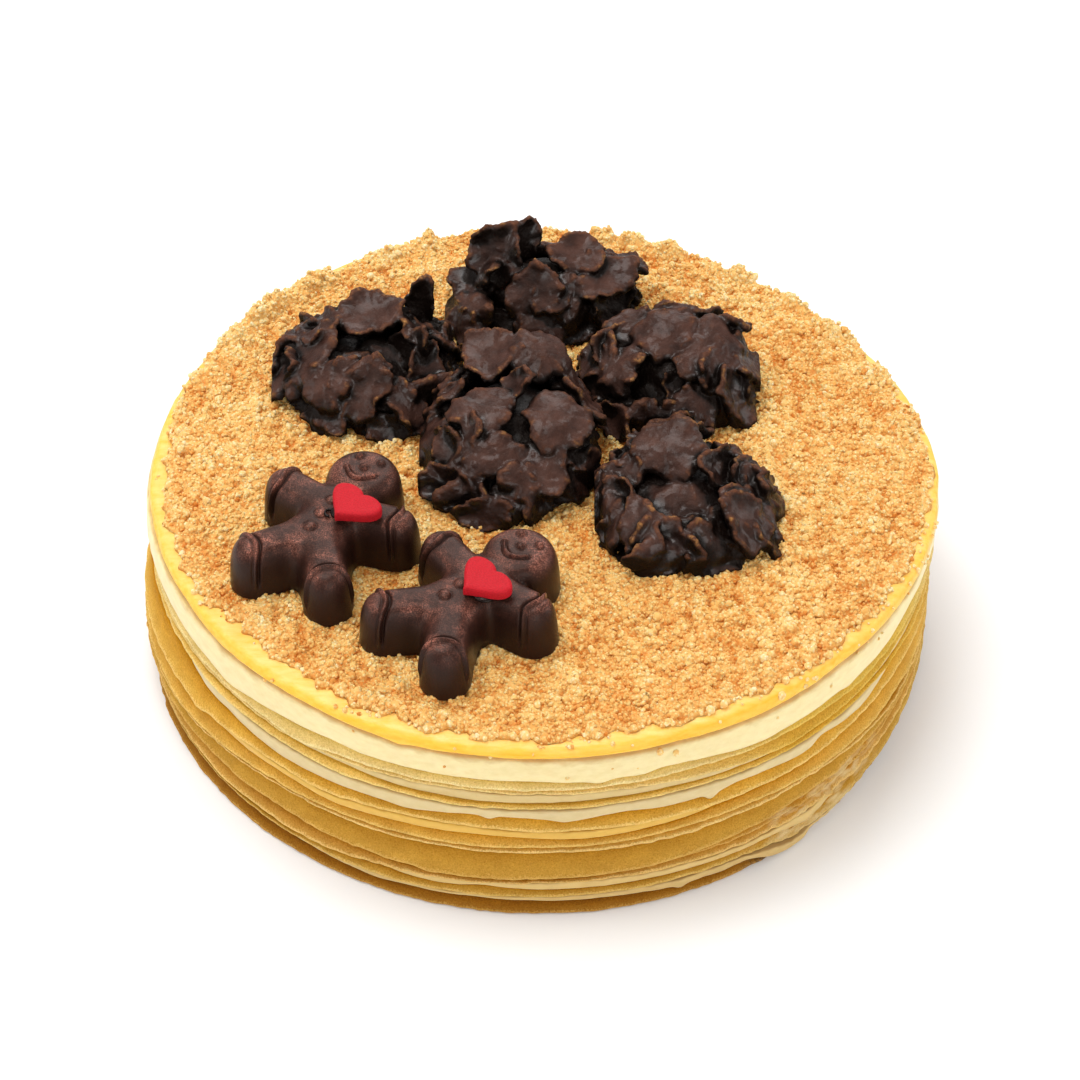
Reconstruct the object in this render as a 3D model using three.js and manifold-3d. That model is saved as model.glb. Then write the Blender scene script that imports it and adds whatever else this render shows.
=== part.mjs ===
// Crepe cake: a stack of crepes and cream with a custard top, cookie crumbs, heaps of chocolate flakes
// and two moulded chocolate gingerbread men that carry sugar hearts.
// Millimetres, +Z up. The cake stands on z = 0 with its box centred on the Z axis. The front is -Y.
import * as THREE from 'three';
import { mergeVertices } from 'three/addons/utils/BufferGeometryUtils.js';
import Module from 'manifold-3d';

const wasm = await Module();
wasm.setup();

// ---------------------------------------------------------------- driving dimensions
const SEGMENTS = 36;
const CAKE_HEIGHT = 55.5;
const TOP_RADIUS = 100;
const BOTTOM_RADIUS = 102.3;
const NOSE_DEPTH = 3.2;
const LEAST_LAYER = 0.9;
const UNDERSIDE_GAP = 0.3;
const CRUMB_TOP = 57;
const FLAKE_THICKNESS = 2;
const HEAP_CLEARANCE = 0.2;
const FLAKE_SIDES = 6;
const FILL_FLAKES = 2;
const FILL_SPACING = 8.5;
const FILL_REACH = 0.96;
const CORE_SHARE = 0.9;
const ROOT_RADIUS = 3.2;
const MAN_HEIGHT = 14;
const HEAD_RADIUS = 9.6;
const ARM_REACH = [14.6, -12];
const ARM_RADIUS = 6.8;
const LEG_REACH = [9.6, -35.4];
const LEG_RADIUS = 7.4;
const BUTTON_ROWS = [-14.6, -20, -25.4];
const BUTTON_RISE = 0.5;
const HEART_WIDTH = 15;
const HEART_THICKNESS = 3;

// ---------------------------------------------------------------- small tools
const degrees = Math.PI / 180;

function seeded(seed) {
  let state = seed >>> 0;
  return () => {
    state = (state + 0x6d2b79f5) >>> 0;
    let t = Math.imul(state ^ (state >>> 15), 1 | state);
    t = (t + Math.imul(t ^ (t >>> 7), 61 | t)) ^ t;
    return ((t ^ (t >>> 14)) >>> 0) / 4294967296;
  };
}

// A closed geometry: shared corners merged, flat slivers at the axis dropped.
function closed(geometry) {
  const bare = geometry.clone();
  bare.deleteAttribute('normal');
  bare.deleteAttribute('uv');
  const merged = mergeVertices(bare, 1e-4);
  const kept = [];
  const index = merged.index.array;
  for (let k = 0; k < index.length; k += 3) {
    const [a, b, c] = [index[k], index[k + 1], index[k + 2]];
    if (a !== b && b !== c && c !== a) kept.push(a, b, c);
  }
  merged.setIndex(kept);
  merged.computeVertexNormals();
  return merged;
}

function toSolid(geometry) {
  const g = closed(geometry);
  return new wasm.Manifold(new wasm.Mesh({
    numProp: 3,
    vertProperties: Float32Array.from(g.attributes.position.array),
    triVerts: Uint32Array.from(g.index.array),
  }));
}

function toGeometry(solid) {
  const mesh = solid.getMesh();
  const g = new THREE.BufferGeometry();
  g.setAttribute('position', new THREE.BufferAttribute(Float32Array.from(mesh.vertProperties), 3));
  g.setIndex(Array.from(mesh.triVerts));
  g.computeVertexNormals();
  return g;
}

// The largest body of a fused heap. Loose scraps go, and hollows that the fusing sealed are filled.
function mainBody(solid) {
  let best = null;
  for (const body of solid.decompose()) {
    if (!best || body.volume() > best.volume()) best = body;
  }
  return best;
}

function placed(geometry, { at = [0, 0, 0], scale = [1, 1, 1], turn = new THREE.Quaternion() }) {
  const g = geometry.clone();
  g.applyMatrix4(new THREE.Matrix4().compose(
    new THREE.Vector3(...at), turn, new THREE.Vector3(...scale)));
  return g;
}

function finish(name, geometry, material) {
  const mesh = new THREE.Mesh(geometry, material);
  mesh.name = name;
  return mesh;
}

const material = (color, roughness) => new THREE.MeshStandardMaterial({ color, roughness, metalness: 0 });
const finishes = {
  crepe: material(0xd6a04c, 0.85),
  paleCrepe: material(0xddbf76, 0.85),
  cream: material(0xfbe8b2, 0.5),
  custard: material(0xfbd057, 0.4),
  crumbs: material(0xeeb86c, 0.95),
  flakes: material(0x4a3833, 0.4),
  mould: material(0x5b3f39, 0.45),
  sugar: material(0xd9303f, 0.7),
};

// ---------------------------------------------------------------- the rim of the stack
const wrap = (a) => Math.abs(((a + 540) % 360) - 180);

// A height round the rim: a base value, soft swells [where, how wide, how high] and a small wobble.
function around(base, swells, wobble, seed) {
  const random = seeded(seed);
  const waves = [2, 3, 5, 7].map((count) => [count, random() * 360, (0.4 + random()) / Math.sqrt(count)]);
  return (angle) => {
    let value = base;
    for (const [where, wide, high] of swells) value += high * Math.exp(-((wrap(angle - where) / wide) ** 2));
    for (const [count, phase, size] of waves) {
      value += wobble * size * Math.cos(count * (angle - phase) * degrees);
    }
    return value;
  };
}

// Radius of the stack at a height: a little out of round, wider at the foot.
function stackRadius(angle, height) {
  const t = angle * degrees;
  const top = 1 - 0.008 * Math.sin(2 * t) + 0.009 * Math.cos(3 * t) + 0.0075 * Math.cos(4 * t);
  const foot = 1 + 0.009 * Math.sin(2 * t) - 0.006 * Math.cos(3 * t) + 0.008 * Math.sin(3 * t);
  const k = THREE.MathUtils.clamp(1 - height / CAKE_HEIGHT, 0, 1);
  return TOP_RADIUS * top * (1 - k) + BOTTOM_RADIUS * foot * k;
}

// The layers from the top down. floor: height of the layer's lower edge round the rim. out: how far that
// edge stands out. shoulder: how far the face leans back at its upper edge. droop: how far the edge hangs.
const bulgeLeft = [187, 16, 2];
const layers = [
  { name: 'custard_top', finish: finishes.custard, centre: 52, shoulder: 0.9, droop: 0.2,
    floor: around(52, [[205, 8, 0.5], [220, 6, -0.5], [238, 10, 0.5], [275, 14, 0.4], [303, 10, -0.9]], 0.1, 11),
    out: around(0.1, [], 0.1, 12) },
  { name: 'cream_1', finish: finishes.cream, centre: 43.4, shoulder: 0.5, droop: 0.2,
    floor: around(43.4, [[200, 12, -1], [220, 5, -2.6], [240, 8, 0.9], [268, 24, 1], [303, 9, -1.8],
      [320, 10, -2], [342, 8, 2.4]], 0.25, 21),
    out: around(0.2, [[185, 14, 1.3]], 0.1, 22) },
  { name: 'crepe_1', finish: finishes.paleCrepe, centre: 41, shoulder: 0.8, droop: 0.3,
    floor: around(40.7, [[215, 22, -1.7], [272, 26, 1.7], [316, 16, -1.4], [342, 8, 2]], 0.25, 31),
    out: around(0, [[278, 12, 0.4]], 0.2, 32) },
  { name: 'crepe_2', finish: finishes.crepe, centre: 39.4, shoulder: 1.2, droop: 0.3,
    floor: around(38.5, [[270, 26, 2.4], [318, 18, -2.2], [205, 14, -1.2]], 0.2, 41),
    out: around(-0.6, [[305, 14, 0.8]], 0.2, 42) },
  { name: 'cream_2', finish: finishes.cream, centre: 37.6, shoulder: 0.4, droop: 0.1,
    floor: around(37.4, [[268, 28, 0.8], [318, 18, -1.9], [205, 12, -0.9]], 0.15, 51),
    out: around(-2.2, [[266, 20, 1.2]], 0.1, 52) },
  { name: 'crepe_3', finish: finishes.crepe, centre: 35.2, shoulder: 1.2, droop: 0.3,
    floor: around(34.5, [[272, 20, 1.5]], 0.2, 61),
    out: around(0, [], 0.25, 62) },
  { name: 'cream_3', finish: finishes.cream, centre: 31.6, shoulder: 0.5, droop: 0.1,
    floor: around(31.2, [[232, 12, -1.4], [268, 10, 1.5], [284, 5, 0.8], [298, 5, 1], [309, 5, -1.2],
      [323, 7, -1.5], [340, 8, 1.4], [197, 12, 1.8]], 0.2, 71),
    out: around(-0.5, [[240, 24, 0.5], [310, 18, 0.6], [190, 14, -1.2]], 0.2, 72) },
  { name: 'crepe_4', finish: finishes.crepe, centre: 27.6, shoulder: 1.6, droop: 0.5,
    floor: around(27, [[208, 10, -4.2], [262, 18, 1.8], [286, 12, 0.8]], 0.2, 81),
    out: around(0.2, [bulgeLeft], 0.3, 82) },
  { name: 'custard_line', finish: finishes.custard, centre: 25.9, shoulder: 0.4, droop: 0.1,
    floor: around(26, [[209, 9, -4.2], [233, 14, -1.8], [265, 8, 0.8]], 0.1, 91),
    out: around(-1.6, [[240, 26, 1.3], [278, 14, 1.1], [190, 12, 1]], 0.1, 92) },
  { name: 'crepe_5', finish: finishes.crepe, centre: 21.4, shoulder: 1.5, droop: 0.4,
    floor: around(20, [[275, 26, 3], [206, 12, -3.4], [236, 10, 0.9]], 0.2, 101),
    out: around(0.3, [bulgeLeft], 0.3, 102) },
  { name: 'crepe_6', finish: finishes.paleCrepe, centre: 19.8, shoulder: 0.5, droop: 0.3,
    floor: around(18.8, [[275, 28, 2.2], [207, 10, -3.2], [236, 9, 0.9]], 0.2, 111),
    out: around(0.2, [bulgeLeft], 0.3, 112) },
  { name: 'crepe_7', finish: finishes.crepe, centre: 13, shoulder: 1.2, droop: 0.8,
    floor: around(12.2, [[316, 22, 3.1]], 0.2, 121),
    out: around(0.5, [bulgeLeft], 0.3, 122) },
  { name: 'crepe_8', finish: finishes.crepe, centre: 11.6, shoulder: 0.8, droop: 0.3,
    floor: around(11.2, [[318, 22, 1.4], [272, 12, 0.4]], 0.15, 131),
    out: around(-0.8, [[315, 18, 0.8]], 0.2, 132) },
  { name: 'crepe_9', finish: finishes.crepe, centre: 8.8, shoulder: 1, droop: 0.4,
    floor: around(8.4, [[276, 16, 2.3], [228, 14, -1.2]], 0.2, 141),
    out: around(0.2, [[190, 16, 0.8]], 0.25, 142) },
  { name: 'cream_4', finish: finishes.cream, centre: 7.4, shoulder: 0.4, droop: 0.1,
    floor: around(7, [[272, 16, 1.4], [225, 12, -0.8]], 0.15, 151),
    out: around(-2, [[278, 24, 1.7], [310, 10, 0.5]], 0.1, 152) },
  { name: 'crepe_10', finish: finishes.crepe, centre: 4.9, shoulder: 1, droop: 0.3,
    floor: around(4.6, [[270, 18, 1.4], [326, 16, -1.8]], 0.2, 161),
    out: around(0.1, [], 0.25, 162) },
  { name: 'cream_5', finish: finishes.cream, centre: 3.6, shoulder: 0.4, droop: 0.1,
    floor: around(3.5, [[228, 12, 0.8], [268, 14, 0.9], [325, 16, -1.6]], 0.15, 171),
    out: around(-1.4, [[272, 34, 1], [308, 6, 0.8]], 0.2, 172) },
  { name: 'crepe_11', finish: finishes.crepe, centre: 0, shoulder: 0.9, droop: 0,
    floor: () => 0,
    out: around(-0.2, [[332, 22, -1.2]], 0.2, 182) },
];

// Heights of every lower edge and of the ring that it shares with the next layer, for each rim station.
const stations = Array.from({ length: SEGMENTS }, (_, i) => (i * 360) / SEGMENTS);
for (const angle of stations) {
  let above = { edge: CAKE_HEIGHT, ring: CAKE_HEIGHT };
  layers.forEach((layer, k) => {
    layer.rim = layer.rim || [];
    const foot = k === layers.length - 1;
    const room = (layers.length - 1 - k) * LEAST_LAYER;
    const out = layer.out(angle);
    let edge = layer.floor(angle) + 0.9 * Math.max(0, out);
    edge = Math.max(Math.min(edge, above.edge - LEAST_LAYER), room);
    if (foot) edge = 0;
    const ring = foot ? 0 : edge + layer.droop;
    const radius = stackRadius(angle, edge);
    layer.rim.push({
      outer: radius + out,
      edge,
      ring,
      inner: radius - NOSE_DEPTH,
      face: edge + Math.max(0.35, (above.edge - edge) * 0.82 - UNDERSIDE_GAP * 0.5),
      shoulder: Math.max(stackRadius(angle, above.edge) + out - layer.shoulder, radius - NOSE_DEPTH + 0.5),
      upperInner: above.inner,
      upperRing: above.ring,
    });
    above = { edge, ring, inner: radius - NOSE_DEPTH };
  });
}

// One layer: a full disc whose rim stands out, leans and wobbles. It shares its two faces with its neighbours.
function layerMesh(layer, k) {
  const top = k === 0;
  const count = top ? 8 : 6;
  const profile = Array.from({ length: count }, (_, j) => new THREE.Vector2(Math.sin((Math.PI * j) / (count - 1)), j));
  profile[0].x = 0;
  profile[count - 1].x = 0;
  const geometry = new THREE.LatheGeometry(profile, SEGMENTS);
  const position = geometry.attributes.position;
  const upper = top ? CAKE_HEIGHT : layers[k - 1].centre;
  for (let i = 0; i <= SEGMENTS; i++) {
    const s = layer.rim[i % SEGMENTS];
    const t = stations[i % SEGMENTS] * degrees;
    const rows = [[0, layer.centre], [s.inner, s.ring], [s.outer, s.edge]];
    if (top) {
      const r = stackRadius(stations[i % SEGMENTS], CAKE_HEIGHT);
      rows.push([r + 0.1, CAKE_HEIGHT - 1.5], [r - 0.7, CAKE_HEIGHT - 0.45], [r - 2, CAKE_HEIGHT]);
      rows.push([r - 12, CAKE_HEIGHT], [0, CAKE_HEIGHT]);
    } else {
      rows.push([s.shoulder, s.face], [s.upperInner, s.upperRing], [0, upper]);
    }
    rows.forEach(([radius, height], j) => {
      position.setXYZ(i * count + j, radius * Math.cos(t), radius * Math.sin(t), height);
    });
  }
  return finish(layer.name, closed(geometry), layer.finish);
}

// ---------------------------------------------------------------- heaps of chocolate flakes
// centre, reach and height of the solid core and how full its shoulders are (lower is fuller), then each
// flake that shows:
// x, y, z of its middle, length, width, tilt of its face from level, heading, spin, and how far it cups.
const heaps = [
  { name: 'flake_heap_left', core: [-45.5, 31.5, 25, 22, 17, 1.3], flakes: [
    [-44.6, 38.4, 75, 17, 16, 14, 250, 0, 1.5], [-31.4, 44, 75, 15, 8, 78, 265, 90, 1],
    [-50.3, 22.7, 66, 24, 15, 62, 262, 0, -3], [-65, 27.6, 65, 14, 9, 75, 190, 90, 3],
    [-57.6, 36.8, 71, 14, 13, 35, 170, 30, 2], [-34, 30.1, 71, 17, 9, 70, 230, 50, 1.5],
    [-30.3, 24.3, 67, 16, 11, 45, 300, 50, 2], [-42.9, 16.4, 62, 19, 9, 65, 265, 0, 2],
    [-42.5, 13, 60, 15, 8, 55, 270, 0, 1], [-58, 19, 61, 12, 8, 75, 200, 90, 1],
    [-48, 47, 67, 17, 13, 60, 100, 0, 2], [-34, 41.5, 68.5, 16, 13, 55, 50, 0, 1],
    [-55.5, 13.5, 60, 13, 9, 55, 235, 0, 1], [-25, 40, 64, 15, 12, 60, 30, 0, 1], [-38, 10.5, 60, 15, 9, 60, 285, 0, 1]] },
  { name: 'flake_heap_back', core: [1, 62.5, 27, 16, 19, 1.1], flakes: [
    [-11.6, 63.2, 76, 18, 15, 60, 250, 60, 2], [-4.5, 66, 79, 13, 9, 75, 290, 85, 1],
    [-2.6, 56.2, 71, 12, 12, 55, 265, 0, -2], [9.7, 62.7, 76, 17, 12, 20, 290, 350, 1],
    [17.4, 58.5, 72, 19, 12, 25, 280, 350, 1], [22.5, 66, 70, 13, 11, 15, 60, 0, 1],
    [17.5, 57, 67, 16, 10, 50, 280, 0, 2], [-18.5, 61, 67, 14, 11, 30, 230, 10, 1],
    [-19, 52, 65, 15, 12, 50, 220, 0, -3], [2.5, 51.5, 66, 17, 12, 45, 270, 10, -2],
    [2, 74, 66, 18, 13, 55, 90, 0, 2]] },
  { name: 'flake_heap_right', core: [34, 28, 24, 18.5, 18, 1], flakes: [
    [23.5, 36, 73, 13, 14, 15, 230, 40, -1], [31.9, 29.3, 76, 16, 16, 20, 250, 20, -2],
    [36.4, 37.5, 75, 19, 12, 12, 60, 345, -2], [43.7, 25.5, 74, 20, 18, 22, 300, 20, -3],
    [50.5, 37, 73, 10, 9, 45, 60, 60, 0.4], [20.5, 30.5, 69, 16, 13, 30, 280, 340, 3],
    [22.5, 25, 65, 16, 11, 45, 270, 345, 3], [38, 18.5, 66, 15, 10, 40, 275, 355, 3],
    [48.5, 16, 62, 14, 14, 70, 300, 60, -2], [53, 22, 63, 11, 8, 75, 350, 90, 2],
    [38, 43, 71, 17, 12, 50, 85, 0, 2], [18, 24, 62, 14, 10, 65, 210, 0, 1],
    [14.5, 29, 67, 14, 11, 45, 190, 0, 1]] },
  { name: 'flake_heap_centre', core: [-7.5, 4, 24, 28.5, 18, 0.85], flakes: [
    [-12.8, 23, 74, 17, 17, 15, 200, 20, 1.5], [0.3, 21.5, 76, 18, 16, 20, 330, 70, -3],
    [-14.8, 0, 75, 17, 17, 10, 230, 30, -1.5], [4.5, -4, 75, 18, 19, 14, 300, 60, -2],
    [-12.5, -12.4, 70.5, 16, 14, 32, 255, 20, -2], [-23.5, -5, 65, 17, 14, 72, 200, 80, 2],
    [-22.5, -15, 61, 18, 12, 48, 240, 350, 3], [-4, -19, 63, 14, 13, 68, 268, 0, 1],
    [5, -14, 63, 14, 10, 60, 290, 0, 1], [9, -9, 67, 10, 9, 60, 330, 0, 1],
    [-5.5, 8, 77, 12, 8, 55, 200, 60, 1],
    [10, 14, 68, 16, 12, 50, 20, 20, 1], [-14, -23, 60, 15, 10, 60, 260, 0, 1]] },
  { name: 'flake_heap_front', core: [36, -21, 24, 21.5, 16.5, 1.25], flakes: [
    [32, -14.6, 75, 19, 18, 28, 240, 60, -2], [27, -5.5, 70, 14, 11, 35, 130, 30, 2],
    [22, -17, 69, 10, 9, 35, 220, 0, 1], [21, -24.4, 66.5, 14, 8, 50, 220, 345, 3],
    [45, -19.2, 71.5, 13, 14, 42, 330, 60, 2], [50.5, -19.5, 67, 16, 10, 60, 345, 80, 2],
    [55.5, -19.9, 65, 14, 8, 80, 355, 90, 1], [34.5, -35, 62.5, 21, 13, 62, 268, 5, -3.5],
    [47, -32, 62, 16, 14, 60, 310, 50, -2], [21.5, -32.5, 60.5, 15, 11, 55, 230, 0, 2],
    [36, -5, 71, 16, 12, 45, 90, 0, 2],
    [28, -39, 60, 13, 10, 60, 255, 0, 1], [44, -38.5, 60, 14, 10, 60, 285, 0, 1],
    [21.5, -3, 63, 14, 10, 60, 150, 0, 1]] },
];

// A flake: a chip of a few sides, uneven at the rim, cupped and turned to face along its heading.
function flakeGeometry([x, y, z, length, width, tilt, heading, spin, cup], random) {
  const g = new THREE.CylinderGeometry(1, 1, FLAKE_THICKNESS, FLAKE_SIDES, 1);
  g.rotateX(Math.PI / 2);
  const reach = Array.from({ length: FLAKE_SIDES }, () => 0.88 + 0.22 * random());
  const position = g.attributes.position;
  for (let i = 0; i < position.count; i++) {
    const rim = Math.hypot(position.getX(i), position.getY(i)) > 0.5;
    const a = Math.atan2(position.getY(i), position.getX(i));
    const side = Math.round(((a / degrees + 360) * FLAKE_SIDES) / 360) % FLAKE_SIDES;
    const k = rim ? reach[side] : 0;
    position.setXYZ(i, (Math.cos(a) * k * length) / 2, (Math.sin(a) * k * width) / 2,
      position.getZ(i) + (rim ? cup * 0.7 : -cup * 0.3));
  }
  const t = tilt * degrees;
  const h = heading * degrees;
  const normal = new THREE.Vector3(Math.sin(t) * Math.cos(h), Math.sin(t) * Math.sin(h), Math.cos(t));
  const level = new THREE.Vector3(-Math.sin(h), Math.cos(h), 0);
  const basis = new THREE.Matrix4().makeBasis(level, new THREE.Vector3().crossVectors(normal, level), normal);
  g.rotateZ(spin * degrees);
  g.applyMatrix4(basis);
  g.translate(x, y, z);
  return g;
}

// Flakes that cover the dome between the named ones, laid round it in a widening spiral.
function fillFlakes({ core, flakes }, random) {
  const [x, y, rx, ry, high, slope] = core;
  const fill = [];
  for (let i = 1; i < 40 && fill.length < FILL_FLAKES; i++) {
    const heading = (i * 137.5) % 360;
    const share = 0.12 + 0.8 * ((i * 0.618) % 1);
    const reach = FILL_REACH * Math.sqrt(1 - share * share) ** slope;
    const at = [x + rx * reach * Math.cos(heading * degrees), y + ry * reach * Math.sin(heading * degrees),
      CRUMB_TOP + 1 + high * share];
    const [length, width] = [12 + 5 * random(), 9 + 4 * random()];
    const tilt = 85 * (1 - share) ** 0.7 + 30 * (random() - 0.5);
    const flake = [...at, length, width, tilt, heading + 50 * (random() - 0.5), 20, 3 * random() - 1];
    const taken = [...flakes, ...fill].some((f) => Math.hypot(f[0] - at[0], f[1] - at[1], f[2] - at[2])
      < FILL_SPACING);
    if (!taken) fill.push(flake);
  }
  return fill;
}

// A hidden stem that ties a flake to the core of its heap where it stands clear of it.
function rootSolid([x, y, z], [cx, cy, , , high]) {
  const tip = new THREE.Vector3(x, y, z);
  const way = new THREE.Vector3(cx, cy, CRUMB_TOP + high * 0.4).sub(tip);
  const length = Math.min(way.length(), 14);
  way.normalize();
  tip.addScaledVector(way, 0.4);
  const turn = new THREE.Quaternion().setFromUnitVectors(new THREE.Vector3(0, 1, 0), way);
  const at = tip.addScaledVector(way, length / 2).toArray();
  return toSolid(placed(new THREE.ConeGeometry(ROOT_RADIUS, length, 4, 1), { at, turn }));
}

const HEAP_CENTRES = heaps.map(({ core }) => new THREE.Vector2(core[0], core[1]));

// The part of space that belongs to one heap: above the crumbs and short of half way to its neighbours.
function heapCell(k) {
  let cell = toSolid(placed(new THREE.BoxGeometry(90, 90, 40), {
    at: [HEAP_CENTRES[k].x, HEAP_CENTRES[k].y, CRUMB_TOP + 20] }));
  HEAP_CENTRES.forEach((other, j) => {
    if (j === k) return;
    const way = other.clone().sub(HEAP_CENTRES[k]);
    const middle = HEAP_CENTRES[k].clone().addScaledVector(way, 0.5);
    const turn = new THREE.Quaternion().setFromAxisAngle(new THREE.Vector3(0, 0, 1), way.angle());
    const far = middle.addScaledVector(way.clone().normalize(), 100 - HEAP_CLEARANCE);
    cell = cell.subtract(toSolid(placed(new THREE.BoxGeometry(200, 300, 80), {
      at: [far.x, far.y, CRUMB_TOP + 10], turn })));
  });
  return cell;
}

function heapMesh(heap, k) {
  const random = seeded(700 + k);
  const [x, y, rx, ry, high, slope] = heap.core;
  const dome = new THREE.SphereGeometry(1, 9, 5);
  dome.rotateX(Math.PI / 2);
  const position = dome.attributes.position;
  for (let i = 0; i < position.count; i++) {
    const r = Math.hypot(position.getX(i), position.getY(i));
    const k = r > 0.01 ? r ** slope / r : 1;
    position.setXY(i, position.getX(i) * k, position.getY(i) * k);
  }
  const scale = [rx, ry, high].map((reach) => reach * CORE_SHARE);
  let solid = toSolid(placed(dome, { at: [x, y, CRUMB_TOP + 1], scale }));
  for (const flake of [...heap.flakes, ...fillFlakes(heap, random)]) {
    const chip = toSolid(flakeGeometry(flake, random));
    if (solid.intersect(chip).volume() < 3) solid = solid.add(rootSolid(flake, heap.core));
    solid = solid.add(chip);
  }
  solid = mainBody(solid.intersect(heapCell(k)));
  return finish(heap.name, toGeometry(solid), finishes.flakes);
}

// ---------------------------------------------------------------- moulded gingerbread men
// A limb: a long round-ended loaf that is steep at the foot and round on top.
function loaf(radius, length, height, sides) {
  const g = new THREE.CapsuleGeometry(1, 2, 2, sides);
  const position = g.attributes.position;
  for (let i = 0; i < position.count; i++) {
    const along = position.getY(i);
    const cap = Math.max(0, Math.abs(along) - 1);
    const across = position.getX(i);
    const up = position.getZ(i);
    const w = Math.hypot(across, up);
    const lift = Math.sign(up) * Math.abs(up / (w || 1)) ** 0.55 * w;
    position.setXYZ(i, across * radius * (0.8 + 0.2 * Math.sqrt(Math.max(0, 1 - lift ** 2))),
      Math.sign(along) * (Math.min(Math.abs(along), 1) * length / 2 + cap * radius), lift * height);
  }
  return g;
}

function limb(from, to, radius) {
  const a = new THREE.Vector2(...from);
  const b = new THREE.Vector2(...to);
  const way = b.clone().sub(a);
  const turn = new THREE.Quaternion().setFromAxisAngle(new THREE.Vector3(0, 0, 1), way.angle() - Math.PI / 2);
  const middle = a.add(b).multiplyScalar(0.5);
  return toSolid(placed(loaf(radius, way.length(), MAN_HEIGHT, 8), { at: [middle.x, middle.y, 0], turn }));
}

function head() {
  const r = HEAD_RADIUS;
  const h = MAN_HEIGHT;
  const profile = [[0, -1], [r, -1], [r - 0.4, h * 0.5], [r - 1.4, h - 2.6], [r - 3.6, h - 0.7], [0, h]]
    .map(([x, y]) => new THREE.Vector2(x, y));
  const g = new THREE.LatheGeometry(profile, 13);
  g.rotateX(Math.PI / 2);
  return toSolid(g);
}

function bead(x, y, radius, rise) {
  return toSolid(placed(new THREE.SphereGeometry(1, 5, 3), {
    at: [x, y, MAN_HEIGHT - 0.25], scale: [radius, radius, rise + 0.25] }));
}

function strand(points, radius) {
  const path = new THREE.CatmullRomCurve3(points.map((p) => new THREE.Vector3(...p)));
  const section = new THREE.Shape();
  for (let k = 0; k < 3; k++) {
    const x = radius * Math.cos(k * 120 * degrees);
    const y = radius * Math.sin(k * 120 * degrees);
    if (k === 0) section.moveTo(x, y);
    else section.lineTo(x, y);
  }
  section.closePath();
  return toSolid(new THREE.ExtrudeGeometry(section, {
    steps: points.length, extrudePath: path, bevelEnabled: false }));
}

// A raised cuff line over a limb, across it at a point short of its end.
function cuff(from, to, radius) {
  const way = new THREE.Vector2(to[0] - from[0], to[1] - from[1]).normalize();
  const side = new THREE.Vector2(-way.y, way.x);
  const spot = new THREE.Vector2(...to).addScaledVector(way, radius * 0.05);
  const points = [-1, -0.45, 0.45, 1].map((k) => {
    const wave = 0.5 * Math.sin(k * 4);
    const p = spot.clone().addScaledVector(side, k * radius * 0.88).addScaledVector(way, wave);
    return [p.x, p.y, MAN_HEIGHT * (1 - 0.32 * Math.abs(k) ** 3) - 0.1];
  });
  return strand(points, 0.7);
}

function manSolid() {
  const neck = [0, -8];
  const chest = [0, -15];
  const hips = [0, -24];
  const arms = [-1, 1].map((s) => [ARM_REACH[0] * s, ARM_REACH[1]]);
  const legs = [-1, 1].map((s) => [LEG_REACH[0] * s, LEG_REACH[1]]);
  let solid = head().add(limb(neck, hips, 7.4));
  for (const arm of arms) solid = solid.add(limb([0, -14.5], arm, ARM_RADIUS)).add(cuff(chest, arm, ARM_RADIUS));
  for (const leg of legs) solid = solid.add(limb(hips, leg, LEG_RADIUS)).add(cuff(hips, leg, LEG_RADIUS));
  for (const y of BUTTON_ROWS) solid = solid.add(bead(-0.9, y, 1.5, BUTTON_RISE));
  solid = solid.add(bead(-3.3, 3.3, 1, 0.5)).add(bead(3.3, 3.3, 1, 0.5)).add(bead(0, 0.6, 1, 0.5));
  const smile = [-1, -0.4, 0.4, 1].map((k) => [4.6 * k, -1.2 - 2.6 * (1 - k * k), MAN_HEIGHT - 0.15]);
  solid = solid.add(strand(smile, 0.5));
  const above = toSolid(placed(new THREE.BoxGeometry(120, 120, 60), { at: [0, 0, 30] }));
  return mainBody(solid.intersect(above));
}

// A sugar heart with soft edges, point towards the feet.
function heartGeometry() {
  const w = HEART_WIDTH / 2;
  const outline = new THREE.Shape();
  outline.moveTo(0, -w * 0.82);
  outline.bezierCurveTo(w * 0.5, -w * 0.45, w * 1.06, -w * 0.1, w * 0.94, w * 0.42);
  outline.bezierCurveTo(w * 0.84, w * 0.92, w * 0.2, w * 0.92, 0, w * 0.5);
  outline.bezierCurveTo(-w * 0.2, w * 0.92, -w * 0.84, w * 0.92, -w * 0.94, w * 0.42);
  outline.bezierCurveTo(-w * 1.06, -w * 0.1, -w * 0.5, -w * 0.45, 0, -w * 0.82);
  const g = new THREE.ExtrudeGeometry(outline, {
    depth: HEART_THICKNESS - 1.4, steps: 1, curveSegments: 4,
    bevelEnabled: true, bevelThickness: 0.7, bevelSize: 0.5, bevelOffset: -0.5, bevelSegments: 1 });
  g.translate(0, 0, 0.7);
  return g;
}

const manGeometry = toGeometry(manSolid());
const heart = closed(heartGeometry());

// A man lying on the crumbs, head away from the front, with the heart on his chest.
function manGroup(name, [x, y], headHeading, heartAt, heartTurn) {
  const group = new THREE.Group();
  group.position.set(x, y, CRUMB_TOP);
  group.rotation.z = (headHeading - 90) * degrees;
  group.add(finish(`${name}_man`, manGeometry, finishes.mould));
  const sugar = finish(`${name}_heart`, heart, finishes.sugar);
  sugar.position.set(heartAt[0], heartAt[1], MAN_HEIGHT + BUTTON_RISE + 0.3);
  sugar.rotation.z = heartTurn * degrees;
  group.add(sugar);
  return group;
}

const men = [
  manGroup('left', [-43.9, -17.4], 62.3, [5.8, -16.4], -16),
  manGroup('right', [-4.5, -46.5], 45.5, [3.8, -17.4], -8),
];

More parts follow.
